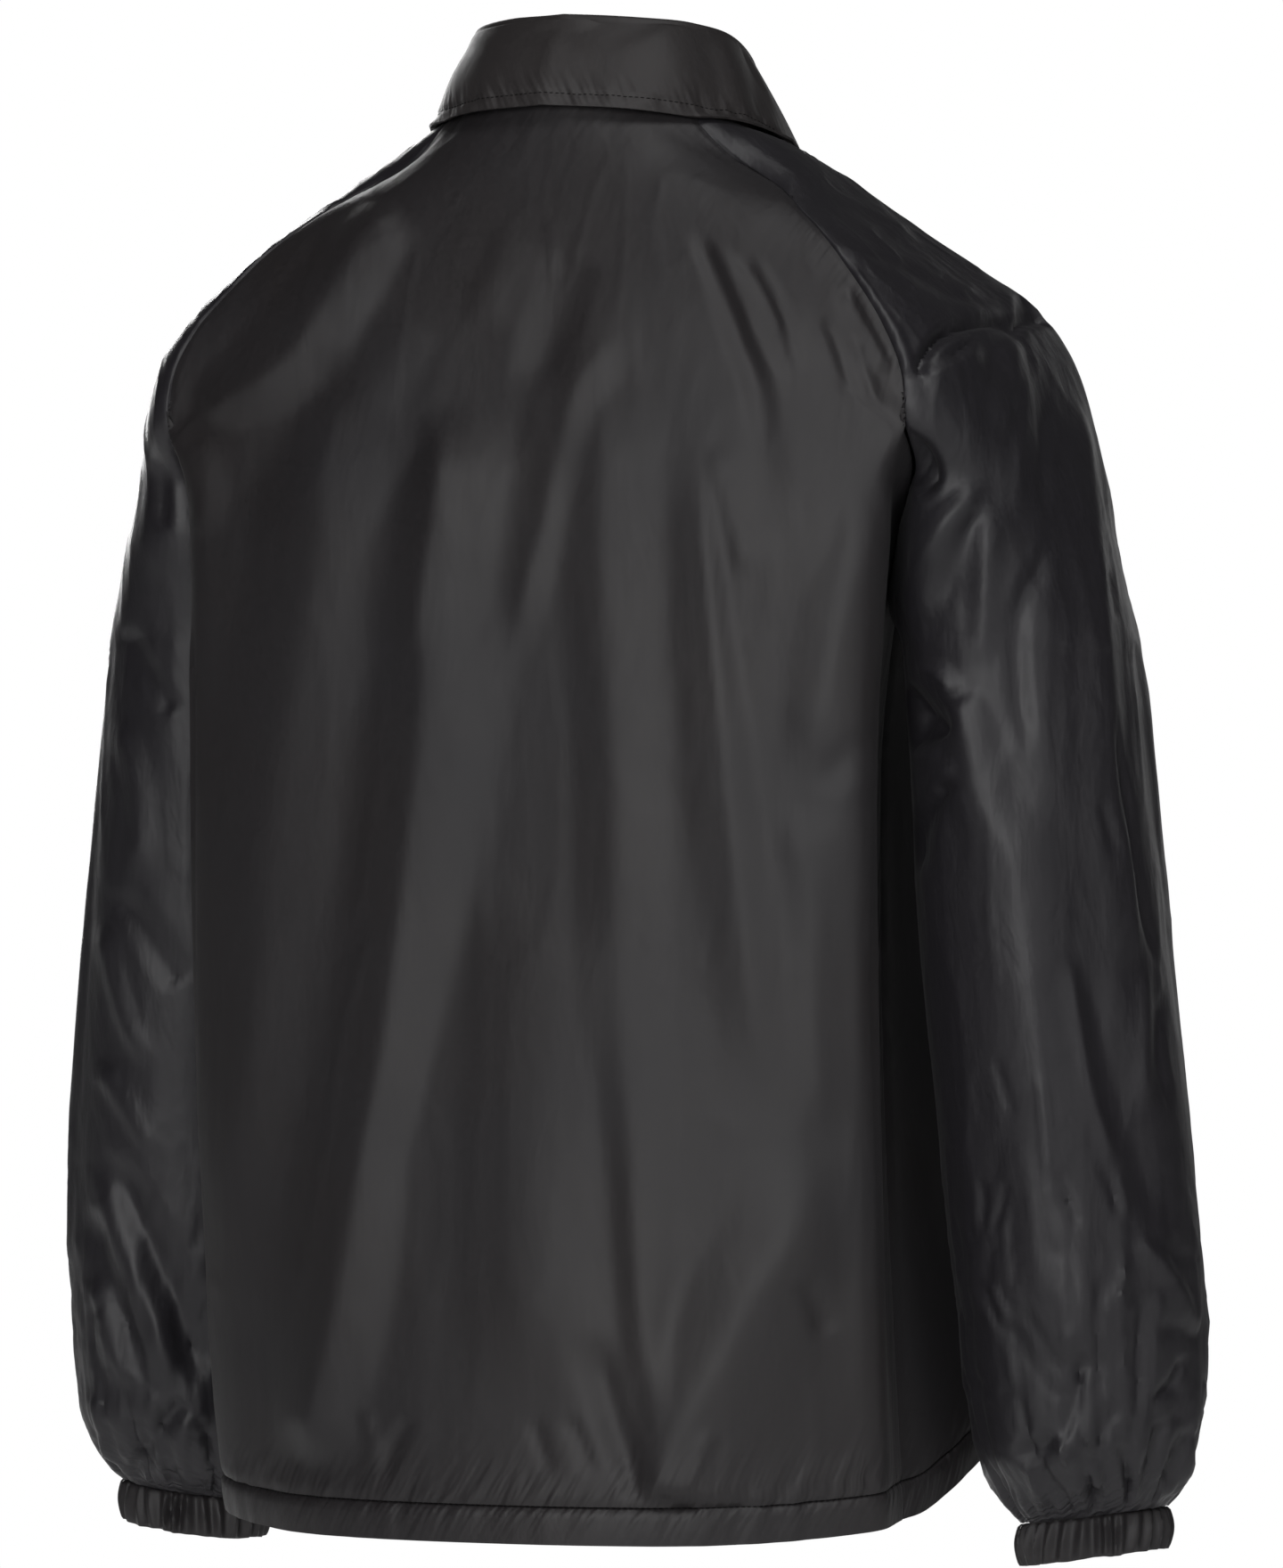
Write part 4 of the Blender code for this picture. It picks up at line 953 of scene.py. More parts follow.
@dataclass(frozen=True)
class NylonFinish:
    """Satin black nylon taffeta, with its weave, small crinkles and faint change of tone."""

    name: str
    colour: tuple[float, float, float]
    cool_colour: tuple[float, float, float]
    roughness: float
    weave_pitch: float = 0.0005
    weave_depth: float = 0.000014
    crinkle_depth: float = 0.0006
    crinkle_size: float = 0.026
    pucker_depth: float = 0.0026
    sheen: float = 0.03

    def build(self) -> bpy.types.Material:
        """Make the cloth's material.

        Returns:
            A node material that reads the piece's own cloth map and object coordinates.
        """
        made, build, shader = new_finish(self.name)
        effect = build.node("ShaderNodeGroup", {
            "Tone": (*self.colour, 1),
            "Cool Tone": (*self.cool_colour, 1),
            "Roughness": self.roughness,
            "Weave Pitch": self.weave_pitch,
            "Weave Depth": self.weave_depth,
            "Crinkle Depth": self.crinkle_depth,
            "Crinkle Size": self.crinkle_size,
            "Pucker Depth": self.pucker_depth,
        }, node_tree=nylon_surface())
        build.feed(shader, {
            "Sheen Weight": self.sheen,
            "Sheen Roughness": 0.4,
            "Specular IOR Level": 0.5,
            "Base Color": effect.outputs["Colour"],
            "Roughness": effect.outputs["Roughness"],
            "Normal": effect.outputs["Normal"],
        })
        return made


@dataclass(frozen=True)
class GlossFinish:
    """A smooth hard finish, for the snap caps, and thread."""

    name: str
    colour: tuple[float, float, float]
    roughness: float
    gloss: float = 0.5
    grain: float = 900.0
    uneven: float = 0.06

    def build(self) -> bpy.types.Material:
        """Make the material, with a faint grain in its roughness and bump."""
        made, build, shader = new_finish(self.name)
        where = build.node("ShaderNodeTexCoord")
        noise = build.node("ShaderNodeTexNoise", {
            "Vector": where.outputs["Object"], "Scale": self.grain,
        })
        spread = build.node("ShaderNodeMapRange", {
            "Value": noise.outputs["Fac"],
            "To Min": self.roughness - self.uneven,
            "To Max": self.roughness + self.uneven,
        })
        bump = build.node("ShaderNodeBump", {
            "Strength": 0.4, "Distance": 0.00005, "Height": noise.outputs["Fac"],
        })
        build.feed(shader, {
            "Base Color": (*self.colour, 1),
            "Specular IOR Level": self.gloss,
            "Roughness": spread.outputs["Result"],
            "Normal": bump.outputs["Normal"],
        })
        return made


def nylon_surface() -> bpy.types.NodeTree:
    """Build the shared look of the nylon once.

    Returns:
        A group with the cloth's colour, roughness and normal.
    """
    known = bpy.data.node_groups.get("nylon_surface")
    if known:
        return known
    tree = new_group(
        "nylon_surface", "ShaderNodeTree",
        {
            "Tone": "Color", "Cool Tone": "Color", "Roughness": "Float", "Weave Pitch": "Float",
            "Weave Depth": "Float", "Crinkle Depth": "Float", "Crinkle Size": "Float",
            "Pucker Depth": "Float",
        },
        {"Colour": "Color", "Roughness": "Float", "Normal": "Vector"},
    )
    build = GroupBuilder(tree)
    given = build.node("NodeGroupInput").outputs
    spot = build.node("ShaderNodeTexCoord").outputs["Object"]

    patches = build.node("ShaderNodeTexNoise", {"Scale": 9.0, "Detail": 3.0, "Vector": spot})
    fine = build.node("ShaderNodeTexNoise", {"Scale": 420.0, "Detail": 2.0, "Vector": spot})
    tone = build.node("ShaderNodeMix", {
        "Factor": patches.outputs["Fac"], "A": given["Tone"], "B": given["Cool Tone"],
    }, data_type="RGBA")
    shade = build.node("ShaderNodeMapRange", {
        "To Min": 0.78, "To Max": 1.22, "Value": fine.outputs["Fac"],
    })
    dyed = build.node("ShaderNodeVectorMath", {
        0: tone.outputs["Result"], "Scale": shade.outputs["Result"],
    }, operation="SCALE")

    change = build.maths("MULTIPLY", build.maths("SUBTRACT", patches.outputs["Fac"], 0.5), 0.16)
    grain = build.maths("MULTIPLY", build.maths("SUBTRACT", fine.outputs["Fac"], 0.5), 0.10)
    rough = build.maths("ADD", given["Roughness"], build.maths("ADD", change, grain))

    cloth = build.node("ShaderNodeUVMap", uv_map="cloth")
    split = build.node("ShaderNodeSeparateXYZ", {"Vector": cloth.outputs["UV"]})
    leaned = build.maths("MULTIPLY", split.outputs["Y"], 0.55)
    slant = build.node("ShaderNodeCombineXYZ", {
        "X": build.maths("ADD", split.outputs["X"], leaned),
        "Y": build.maths("MULTIPLY", split.outputs["Y"], 0.24),
    })
    drawn = build.node("ShaderNodeTexNoise", {
        "Scale": 150.0, "Detail": 1.0, "Vector": slant.outputs["Vector"],
    })
    strain = build.node("ShaderNodeAttribute", attribute_name="pucker")
    puckers = build.node("ShaderNodeBump", {
        "Strength": 1.0,
        "Height": build.maths("MULTIPLY", drawn.outputs["Fac"], strain.outputs["Fac"]),
        "Distance": given["Pucker Depth"],
    })

    stretch = build.node("ShaderNodeMapping", {"Scale": (1.0, 1.0, 0.42), "Vector": spot})
    wander = build.node("ShaderNodeTexNoise", {
        "Detail": 3.0,
        "Roughness": 0.6,
        "Distortion": 0.3,
        "Vector": stretch.outputs["Vector"],
        "Scale": build.maths("DIVIDE", 1.0, given["Crinkle Size"]),
    })
    crinkles = build.node("ShaderNodeBump", {
        "Strength": 1.0,
        "Height": wander.outputs["Fac"],
        "Distance": given["Crinkle Depth"],
        "Normal": puckers.outputs["Normal"],
    })

    threads = build.maths("DIVIDE", 2 * math.pi, given["Weave Pitch"])
    warp = build.maths("SINE", build.maths("MULTIPLY", split.outputs["X"], threads), 0.0)
    weft = build.maths("SINE", build.maths("MULTIPLY", split.outputs["Y"], threads), 0.0)
    weave = build.node("ShaderNodeBump", {
        "Strength": 1.0,
        "Height": build.maths("MULTIPLY", warp, weft),
        "Distance": given["Weave Depth"],
        "Normal": crinkles.outputs["Normal"],
    })
    build.node("NodeGroupOutput", {
        "Colour": dyed.outputs["Vector"], "Roughness": rough, "Normal": weave.outputs["Normal"],
    })
    return tree


@dataclass
class Finishes:
    """The materials of the jacket."""

    cloth: bpy.types.Material = field(init=False)
    sleeve: bpy.types.Material = field(init=False)
    gathered: bpy.types.Material = field(init=False)
    collar: bpy.types.Material = field(init=False)
    thread: bpy.types.Material = field(init=False)
    snap: bpy.types.Material = field(init=False)

    def __post_init__(self) -> None:
        """Build every finish once."""
        warm, cool = (0.0190, 0.0155, 0.0155), (0.0145, 0.0138, 0.0165)
        lilac = (0.0185, 0.0165, 0.0200)
        self.cloth = NylonFinish("satin_nylon", warm, cool, 0.55).build()
        self.sleeve = NylonFinish(
            "sleeve_nylon", lilac, cool, 0.45, crinkle_depth=0.0010, crinkle_size=0.019
        ).build()
        # The collar is the body's nylon painted lighter: a painted highlight for the light that its
        # upturned leaf catches.
        self.collar = NylonFinish(
            "collar_nylon_painted_highlight", (0.0248, 0.0222, 0.0228), warm, 0.60, crinkle_depth=0.0004,
            crinkle_size=0.012,
        ).build()
        self.gathered = NylonFinish(
            "gathered_nylon", warm, cool, 0.52, crinkle_depth=0.0004, crinkle_size=0.008
        ).build()
        self.thread = GlossFinish("black_thread", (0.004, 0.004, 0.004), 0.85, gloss=0.1).build()
        self.snap = GlossFinish("snap_enamel", (0.020, 0.020, 0.021), 0.24).build()


def stitch_tree() -> bpy.types.NodeTree:
    """Build the stitch row: a thread lying along a line in short raised lengths.

    Returns:
        A Geometry Nodes tree with the pitch, length, thickness and material as inputs.
    """
    known = bpy.data.node_groups.get("stitch_row")
    if known:
        return known
    tree = new_group(
        "stitch_row", "GeometryNodeTree",
        {
            "Geometry": "Geometry", "Pitch": "Float", "Length": "Float", "Thickness": "Float",
            "Thread": "Material",
        },
        {"Geometry": "Geometry"},
    )
    build = GroupBuilder(tree)
    given = build.node("NodeGroupInput").outputs
    line = build.node("GeometryNodeMeshToCurve", {"Mesh": given["Geometry"]})
    spaced = build.node("GeometryNodeResampleCurve", {
        "Curve": line.outputs["Curve"], "Length": given["Pitch"],
    }, mode="LENGTH")
    way = build.node("GeometryNodeInputTangent")
    turn = build.node("FunctionNodeAlignEulerToVector", {"Vector": way.outputs["Tangent"]}, axis="X")
    bead = build.node("GeometryNodeMeshUVSphere", {"Segments": 6, "Rings": 4, "Radius": 0.5})
    size = build.node("ShaderNodeCombineXYZ", {
        "X": given["Length"], "Y": given["Thickness"], "Z": given["Thickness"],
    })
    placed = build.node("GeometryNodeInstanceOnPoints", {
        "Points": spaced.outputs["Curve"],
        "Instance": bead.outputs["Mesh"],
        "Rotation": turn.outputs["Rotation"],
        "Scale": size.outputs["Vector"],
    })
    whole = build.node("GeometryNodeRealizeInstances", {"Geometry": placed.outputs["Instances"]})
    smoothed = build.node("GeometryNodeSetShadeSmooth", {"Geometry": whole.outputs["Geometry"]})
    dressed = build.node("GeometryNodeSetMaterial", {
        "Geometry": smoothed.outputs["Geometry"], "Material": given["Thread"],
    })
    build.node("NodeGroupOutput", {"Geometry": dressed.outputs["Geometry"]})
    return tree


@dataclass
class StitchRow:
    """A row of lock stitches along a line on the cloth."""

    name: str
    line: np.ndarray
    thread: bpy.types.Material
    slot: str
    pitch: float = 3.0
    length: float = 2.3
    thickness: float = 0.45

    def build(self) -> bpy.types.Object:
        """Run the thread along the line.

        Returns:
            The stitches as one plain mesh, which rides on the jacket.
        """
        mesh = bpy.data.meshes.new(self.name)
        edges = [(k, k + 1) for k in range(len(self.line) - 1)]
        mesh.from_pydata((self.line * MM).tolist(), edges, [])
        guide = put(self.name + "_guide", mesh)
        tree = stitch_tree()
        modifier = guide.modifiers.new("stitches", "NODES")
        modifier.node_group = tree
        sizes = {"Pitch": self.pitch, "Length": self.length, "Thickness": self.thickness}
        for item in tree.interface.items_tree:
            if item.in_out == "INPUT" and item.name in sizes:
                modifier[item.identifier] = sizes[item.name] * MM
            elif item.in_out == "INPUT" and item.name == "Thread":
                modifier[item.identifier] = self.thread
        bpy.context.view_layer.update()
        graph = bpy.context.evaluated_depsgraph_get()
        plain = bpy.data.meshes.new_from_object(guide.evaluated_get(graph))
        bpy.data.objects.remove(guide, do_unlink=True)
        made = put(self.name, plain)
        plain.materials.clear()
        plain.materials.append(self.thread)
        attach(made, "root")
        return made


@dataclass(frozen=True)
class Cut:
    """The flat cut of a piece of cloth, in metres and square metres."""

    width: float
    length: float
    area: float | None = None


def dress(
    piece: bpy.types.Object,
    finish: bpy.types.Material,
    nodes: tuple[str, ...],
) -> bpy.types.Object:
    """Give a cloth piece its finish, and hide the solids that it replaces.

    Args:
        piece: The cloth.
        finish: Its material.
        nodes: The solids that it replaces.

    Returns:
        The same piece.
    """
    piece.data.materials.append(finish)
    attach(piece, "root")
    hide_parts(*nodes)
    LOG.info("%s: %d faces", piece.name, len(piece.data.polygons))
    return piece


def eased(grid: np.ndarray, share: np.ndarray, passes: int = 40) -> np.ndarray:
    """Smooth a grid down its columns, by the share given for each point."""
    smoothed = grid.copy()
    for _ in range(passes):
        smoothed[1:-1] = (smoothed[:-2] + 2 * smoothed[1:-1] + smoothed[2:]) / 4
    return grid + (smoothed - grid) * share[..., None]


@dataclass
class Shape:
    """The levels and common surfaces that the body, sleeves and casings share."""

    yoke_rows: int = 96
    body_rows: int = 150
    casing_rows: int = 6
    sleeve_rows: int = 172
    half_columns: int = 84
    sleeve_columns: int = 160
    wall: float = 0.7
    seam_gap: float = 0.30
    allowance: float = 0.7
    allowance_depth: float = 0.4
    casing_height: float = 19.0
    overlap: float = 15.0
    lap_columns: int = 5
    underlap_depth: float = 4.2
    underlap_blend: float = 26.0
    ease_reach: float = 45.0
    chest_passes: int = 260
    corner_columns: float = 9.0
    corner_passes: int = 70
    hem_pucker: float = 2.1
    hem_slant: float = 0.55
    stitch_sink: float = 0.75
    neck_pucker: float = 1.1
    seam_sink: float = 0.9
    seam_width: float = 2.6
    crease_mean: float = 0.22
    short_crease: float = 1.8
    broad_gather: float = 4.6
    narrow_gather: float = 9.0
    body: BodyForm = field(default_factory=BodyForm)
    arm: SleeveForm = field(default_factory=SleeveForm)
    rumple: Rumple = field(default_factory=lambda: Rumple(7))

    def __post_init__(self) -> None:
        """Work out the levels of the rows, and build every surface once."""
        yoke = np.linspace(0, 1, self.yoke_rows + 1)
        hem_top = 2.0 - self.casing_height / (UNDERARM_Z - self.body.hem_z)
        panel = np.linspace(1, hem_top, self.body_rows + 1)[1:]
        casing = np.linspace(hem_top, 2.0, self.casing_rows + 1)[1:]
        self.levels = np.concatenate([yoke, panel, casing])
        self.hem_row = len(yoke) + len(panel) - 1
        self.hem_top = hem_top
        self.sleeve_levels = np.concatenate([
            yoke, np.linspace(1, CUFF_LEVEL, self.sleeve_rows + 1)[1:]
        ])
        self.panels: dict[tuple[Face, Side], ClothGrid] = {}
        self.sleeves: dict[Side, ClothGrid] = {}
        for side in Side:
            back = self.smooth_panel(Face.BACK, side)
            front = self.smooth_panel(Face.FRONT, side)
            sleeve = self.smooth_sleeve(side)
            self.share_seams(back.normals, front.normals, sleeve.normals)
            self.panels[(Face.BACK, side)] = self.creased_panel(back, Face.BACK)
            self.panels[(Face.FRONT, side)] = self.creased_panel(front, Face.FRONT)
            self.sleeves[side] = self.creased_sleeve(sleeve, side)

    def smooth_panel(self, face: Face, side: Side) -> ClothGrid:
        """Half a body panel on its smooth form."""
        grid = self.body.grid(self.levels, face, self.half_columns)
        far = along_rows(grid)
        flat = smooth((far[:, -1:] - far) / self.ease_reach)
        chest = smooth((self.levels - 0.50) / 0.25) * smooth((1.60 - self.levels) / 0.35)
        grid = eased(eased(grid, flat), flat * chest[:, None], self.chest_passes)
        column = np.arange(self.half_columns + 1) - self.half_columns * self.body.flat_share
        corner = np.exp(-((column / self.corner_columns) ** 2))[:, None]
        corner = corner * smooth((self.levels - 0.78) / 0.14)
        grid = eased(grid.transpose(1, 0, 2), corner, self.corner_passes).transpose(1, 0, 2)
        normals = facing(normals_of(grid), grid * np.array((1, 1, 0)))
        normals[:, 0, 0] = 0
        mirror = np.array((side.sign, 1, 1))
        around = along_rows(grid) * side.sign
        return ClothGrid(grid * mirror, unit(normals) * mirror, around, grid[..., 2])

    def smooth_sleeve(self, side: Side) -> ClothGrid:
        """A sleeve on its smooth form."""
        grid = self.arm.grid(self.sleeve_levels, self.sleeve_columns)
        normals = normals_of(grid, self.yoke_rows)
        normals = facing(normals, grid - grid.mean(axis=1, keepdims=True))
        mirror = np.array((side.sign, 1, 1))
        around = self.arm.angles(self.sleeve_levels, self.sleeve_columns) * GIRTH_STEP
        return ClothGrid(grid * mirror, normals * mirror, around, grid[..., 2])

    def share_seams(self, back: np.ndarray, front: np.ndarray, sleeve: np.ndarray) -> None:
        """Give panels that meet at a seam one common normal there."""
        under = self.yoke_rows
        own = smooth((self.levels[: under + 1] - 0.72) / 0.14)[:, None]
        for panel, column in ((back, -1), (front, 0)):
            both = unit(panel[: under + 1, -1] + sleeve[: under + 1, column])
            panel[: under + 1, -1] = unit(both * (1 - own) + panel[: under + 1, -1] * own)
            sleeve[: under + 1, column] = unit(both * (1 - own) + sleeve[: under + 1, column] * own)
        common = unit(back[under:, -1] + front[under:, -1])
        back[under:, -1] = common
        front[under:, -1] = common

    def before_arm(self, cloth: ClothGrid, face: Face) -> np.ndarray:
        """Give 1 on the flat of a panel, and 0 where the cloth turns in beside the arm."""
        folds = SECTIONS.at(self.levels)[face.value + "_fold_x"][:, None]
        turned = smooth((self.levels - 0.70) / 0.12)[:, None]
        depth = np.abs(cloth.points[..., 0]) - (folds - 30.0)
        past = np.maximum.accumulate(smooth(depth / 34.0), axis=1)
        return 1 - past * turned

    def seen_and_hidden(
        self, cloth: ClothGrid, seen: tuple[Fold, ...], hidden: tuple[Fold, ...], ring: bool
    ) -> np.ndarray:
        """Lift the cloth by the folds that the view shows, and by those on its hidden side.

        Args:
            cloth: The smooth cloth.
            seen: Folds placed on the view.
            hidden: Folds placed along the cloth.
            ring: Whether the cloth goes all round.

        Returns:
            The lift of each point.
        """
        turned = smooth((cloth.normals @ view_way() - 0.02) / 0.22)
        shown = folds_lift(seen, *seen_at(cloth.points))
        behind = np.zeros_like(shown)
        for turn in (-360.0 * GIRTH_STEP, 0.0, 360.0 * GIRTH_STEP) if ring else (0.0,):
            behind += folds_lift(hidden, cloth.around + turn, -cloth.down)
        return shown * turned + behind * (1 - turned)

    def hem_puckers(self, cloth: ClothGrid) -> np.ndarray:
        """Short slanting puckers above the hem's stitching, and ripples on the casing."""
        above = (self.hem_top - self.levels)[:, None] * (UNDERARM_Z - self.body.hem_z)
        slant = cloth.around + np.maximum(above, 0) * self.hem_slant
        place = np.stack([slant, above * 0.25 + slant * 0, slant * 0], axis=-1)
        strong = self.rumple.at(place, (9.0, 30.0, 9.0))
        patches = 0.5 + 0.5 * self.rumple.at(place + 300.0, (46.0, 90.0, 9.0))
        rise = np.where(above >= 0, np.exp(-np.maximum(above, 0) / 13.0), 0.6)
        stitched = np.exp(-((above / 1.8) ** 2))
        puckers = self.hem_pucker * strong * patches * rise * smooth((above + 24) / 8)
        return puckers - self.stitch_sink * stitched

    def neck_puckers(self, cloth: ClothGrid) -> np.ndarray:
        """Small gathers just below the collar."""
        below = self.levels[:, None] * RAGLAN_LENGTH
        flat = cloth.around * 0
        place = np.stack([cloth.around, below * 0.3 + flat, flat], axis=-1)
        waves = self.rumple.at(place + 90.0, (9.0, 30.0, 9.0))
        return self.neck_pucker * waves * np.exp(-below / 24.0)

    def panel_strain(self, cloth: ClothGrid) -> np.ndarray:
        """How strongly fine puckers show on a panel: at the hem, the neck and the seams."""
        levels = self.levels[:, None]
        above = np.abs(self.hem_top - levels) * (UNDERARM_Z - self.body.hem_z)
        far = np.abs(cloth.around)
        away = far[:, -1:] - far
        hem = np.exp(-((above / 17.0) ** 1.5))
        neck = 0.6 * np.exp(-levels * RAGLAN_LENGTH / 16.0)
        seam = 0.45 * np.exp(-away / 9.0)
        return hem + neck + seam

    def seam_dip(self, away: np.ndarray) -> np.ndarray:
        """Sink the cloth into a seam, from the distance to it."""
        return -self.seam_sink * np.exp(-((away / self.seam_width) ** 2))

    def crumple(
        self, points: np.ndarray, wave_height: np.ndarray, line_height: np.ndarray
    ) -> np.ndarray:
        """Small uneven waves and creases, longer down the cloth than across it."""
        waves = self.rumple.at(points, (24.0, 24.0, 110.0))
        lines = self.rumple.creases(points + 41.0, (19.0, 19.0, 84.0))
        return waves * wave_height + (lines - self.crease_mean) * line_height

    def creased_panel(self, cloth: ClothGrid, face: Face) -> ClothGrid:
        """Add a body panel's folds, puckers and crumples."""
        levels = self.levels[:, None]
        far = np.abs(cloth.around)
        away = far[:, -1:] - far
        if face is Face.FRONT:
            height = folds_lift(FRONT_HIDDEN, far, -cloth.down) * smooth((far - 16.0) / 20.0)
        else:
            height = self.seen_and_hidden(cloth, BACK_SEEN, BACK_HIDDEN, False)
        ends = smooth(levels / 0.10) * smooth((2.06 - levels) / 0.10)
        height = height * smooth(away / 13.0) * self.before_arm(cloth, face) * ends
        height = height + self.hem_puckers(cloth) + self.neck_puckers(cloth)
        calm = smooth(levels / 0.1)
        height = height + self.crumple(cloth.points, 0.45 * calm, 0.5 * calm)
        return cloth.lifted(height + self.seam_dip(away), self.panel_strain(cloth))

    def creased_sleeve(self, cloth: ClothGrid, side: Side) -> ClothGrid:
        """Add a sleeve's folds, its gathers at the cuff, and its crumples."""
        levels = self.sleeve_levels[:, None]
        if side is Side.RIGHT:
            height = self.seen_and_hidden(cloth, RIGHT_SLEEVE_SEEN, RIGHT_SLEEVE_HIDDEN, True)
        else:
            height = self.seen_and_hidden(cloth, LEFT_SLEEVE_SEEN, LEFT_SLEEVE_HIDDEN, True)
        low, high = cloth.around[:, :1], cloth.around[:, -1:]
        away = np.minimum(cloth.around - low, high - cloth.around)
        open_seam = levels < 1.0
        calm = np.where(open_seam, smooth(away / 12.0), 1.0)
        beside = smooth((np.abs(cloth.around) / GIRTH_STEP - 100.0) / 25.0)
        held = np.where(height > 0, height * (1 - beside * smooth((levels - 0.7) / 0.1)), height)
        ease = smooth((levels - 0.08) / 0.20) * smooth((CUFF_LEVEL - levels) / 0.10)
        height = held * calm * ease
        height = height + self.gathers(cloth, levels, side)
        fade = smooth(levels / 0.1) * smooth((CUFF_LEVEL - levels) / 0.1)
        busy = 0.7 + 0.8 * smooth((levels - 2.4) / 1.0)
        height = height + self.crumple(cloth.points, 0.7 * fade, 1.6 * busy * fade)
        lower = smooth((levels - 2.5) / 0.8) * fade
        short = self.rumple.creases(cloth.points + 210.0, (15.0, 15.0, 34.0))
        height = height - (short - self.crease_mean) * self.short_crease * lower
        height = height + np.where(open_seam, self.seam_dip(away), 0.0)
        strain = np.exp(-(CUFF_LEVEL - levels) * SLEEVE_LENGTH / 16.0) + np.where(
            open_seam, 0.6 * np.exp(-away / 9.0), 0.0
        )
        return cloth.lifted(height, strain)

    def gathers(self, cloth: ClothGrid, levels: np.ndarray, side: Side) -> np.ndarray:
        """Uneven gathers that run up from the elastic cuff."""
        turn = np.radians(cloth.around / GIRTH_STEP)
        ring = np.stack([np.cos(turn) * 60, np.sin(turn) * 60, levels * 30 + turn * 0], axis=-1)
        ring = ring + (0.0 if side is Side.LEFT else 140.0)
        rise = (CUFF_LEVEL - levels) * SLEEVE_LENGTH
        broad = self.broad_gather * self.rumple.at(ring, (20.0, 20.0, 60.0))
        broad = broad * np.exp(-((rise / 55.0) ** 2))
        lines = self.rumple.creases(ring + 55.0, (13.0, 13.0, 46.0)) - 0.3
        narrow = -self.narrow_gather * lines * np.exp(-rise / 34.0)
        closing = smooth(rise / 7.0) * 0.85 + 0.15
        return (broad * smooth(rise / 22.0) + narrow) * closing

    def pulled(
        self, grid: np.ndarray, edges: tuple[str, ...], gap: float | None = None
    ) -> np.ndarray:
        """Draw the named edges back by half the seam's gap, along the cloth.

        Args:
            grid: The cloth's points.
            edges: Which edges, of top, bottom, first and last.
            gap: The gap, where it isn't the common one.

        Returns:
            The points with their edges drawn back.
        """
        gap = self.seam_gap if gap is None else gap
        out = grid.copy()
        for edge in edges:
            at, beside = {
                "top": ((0,), (1,)),
                "bottom": ((-1,), (-2,)),
                "first": ((slice(None), 0), (slice(None), 1)),
                "last": ((slice(None), -1), (slice(None), -2)),
            }[edge]
            way = grid[beside] - grid[at]
            run = unit(np.gradient(grid[at], axis=0))
            way = unit(way - run * (way * run).sum(axis=-1, keepdims=True))
            out[at] = out[at] + way * gap / 2
        return out

    def turned_under(
        self, inner: np.ndarray, normals: np.ndarray, edges: tuple[str, ...]
    ) -> np.ndarray:
        """Run an inner face on under the next piece at the named edges, as an allowance does."""
        under = self.pulled(inner, edges, -2 * self.allowance)
        moved = np.abs(under - inner).sum(axis=-1, keepdims=True) > 0
        return under - normals * self.allowance_depth * moved


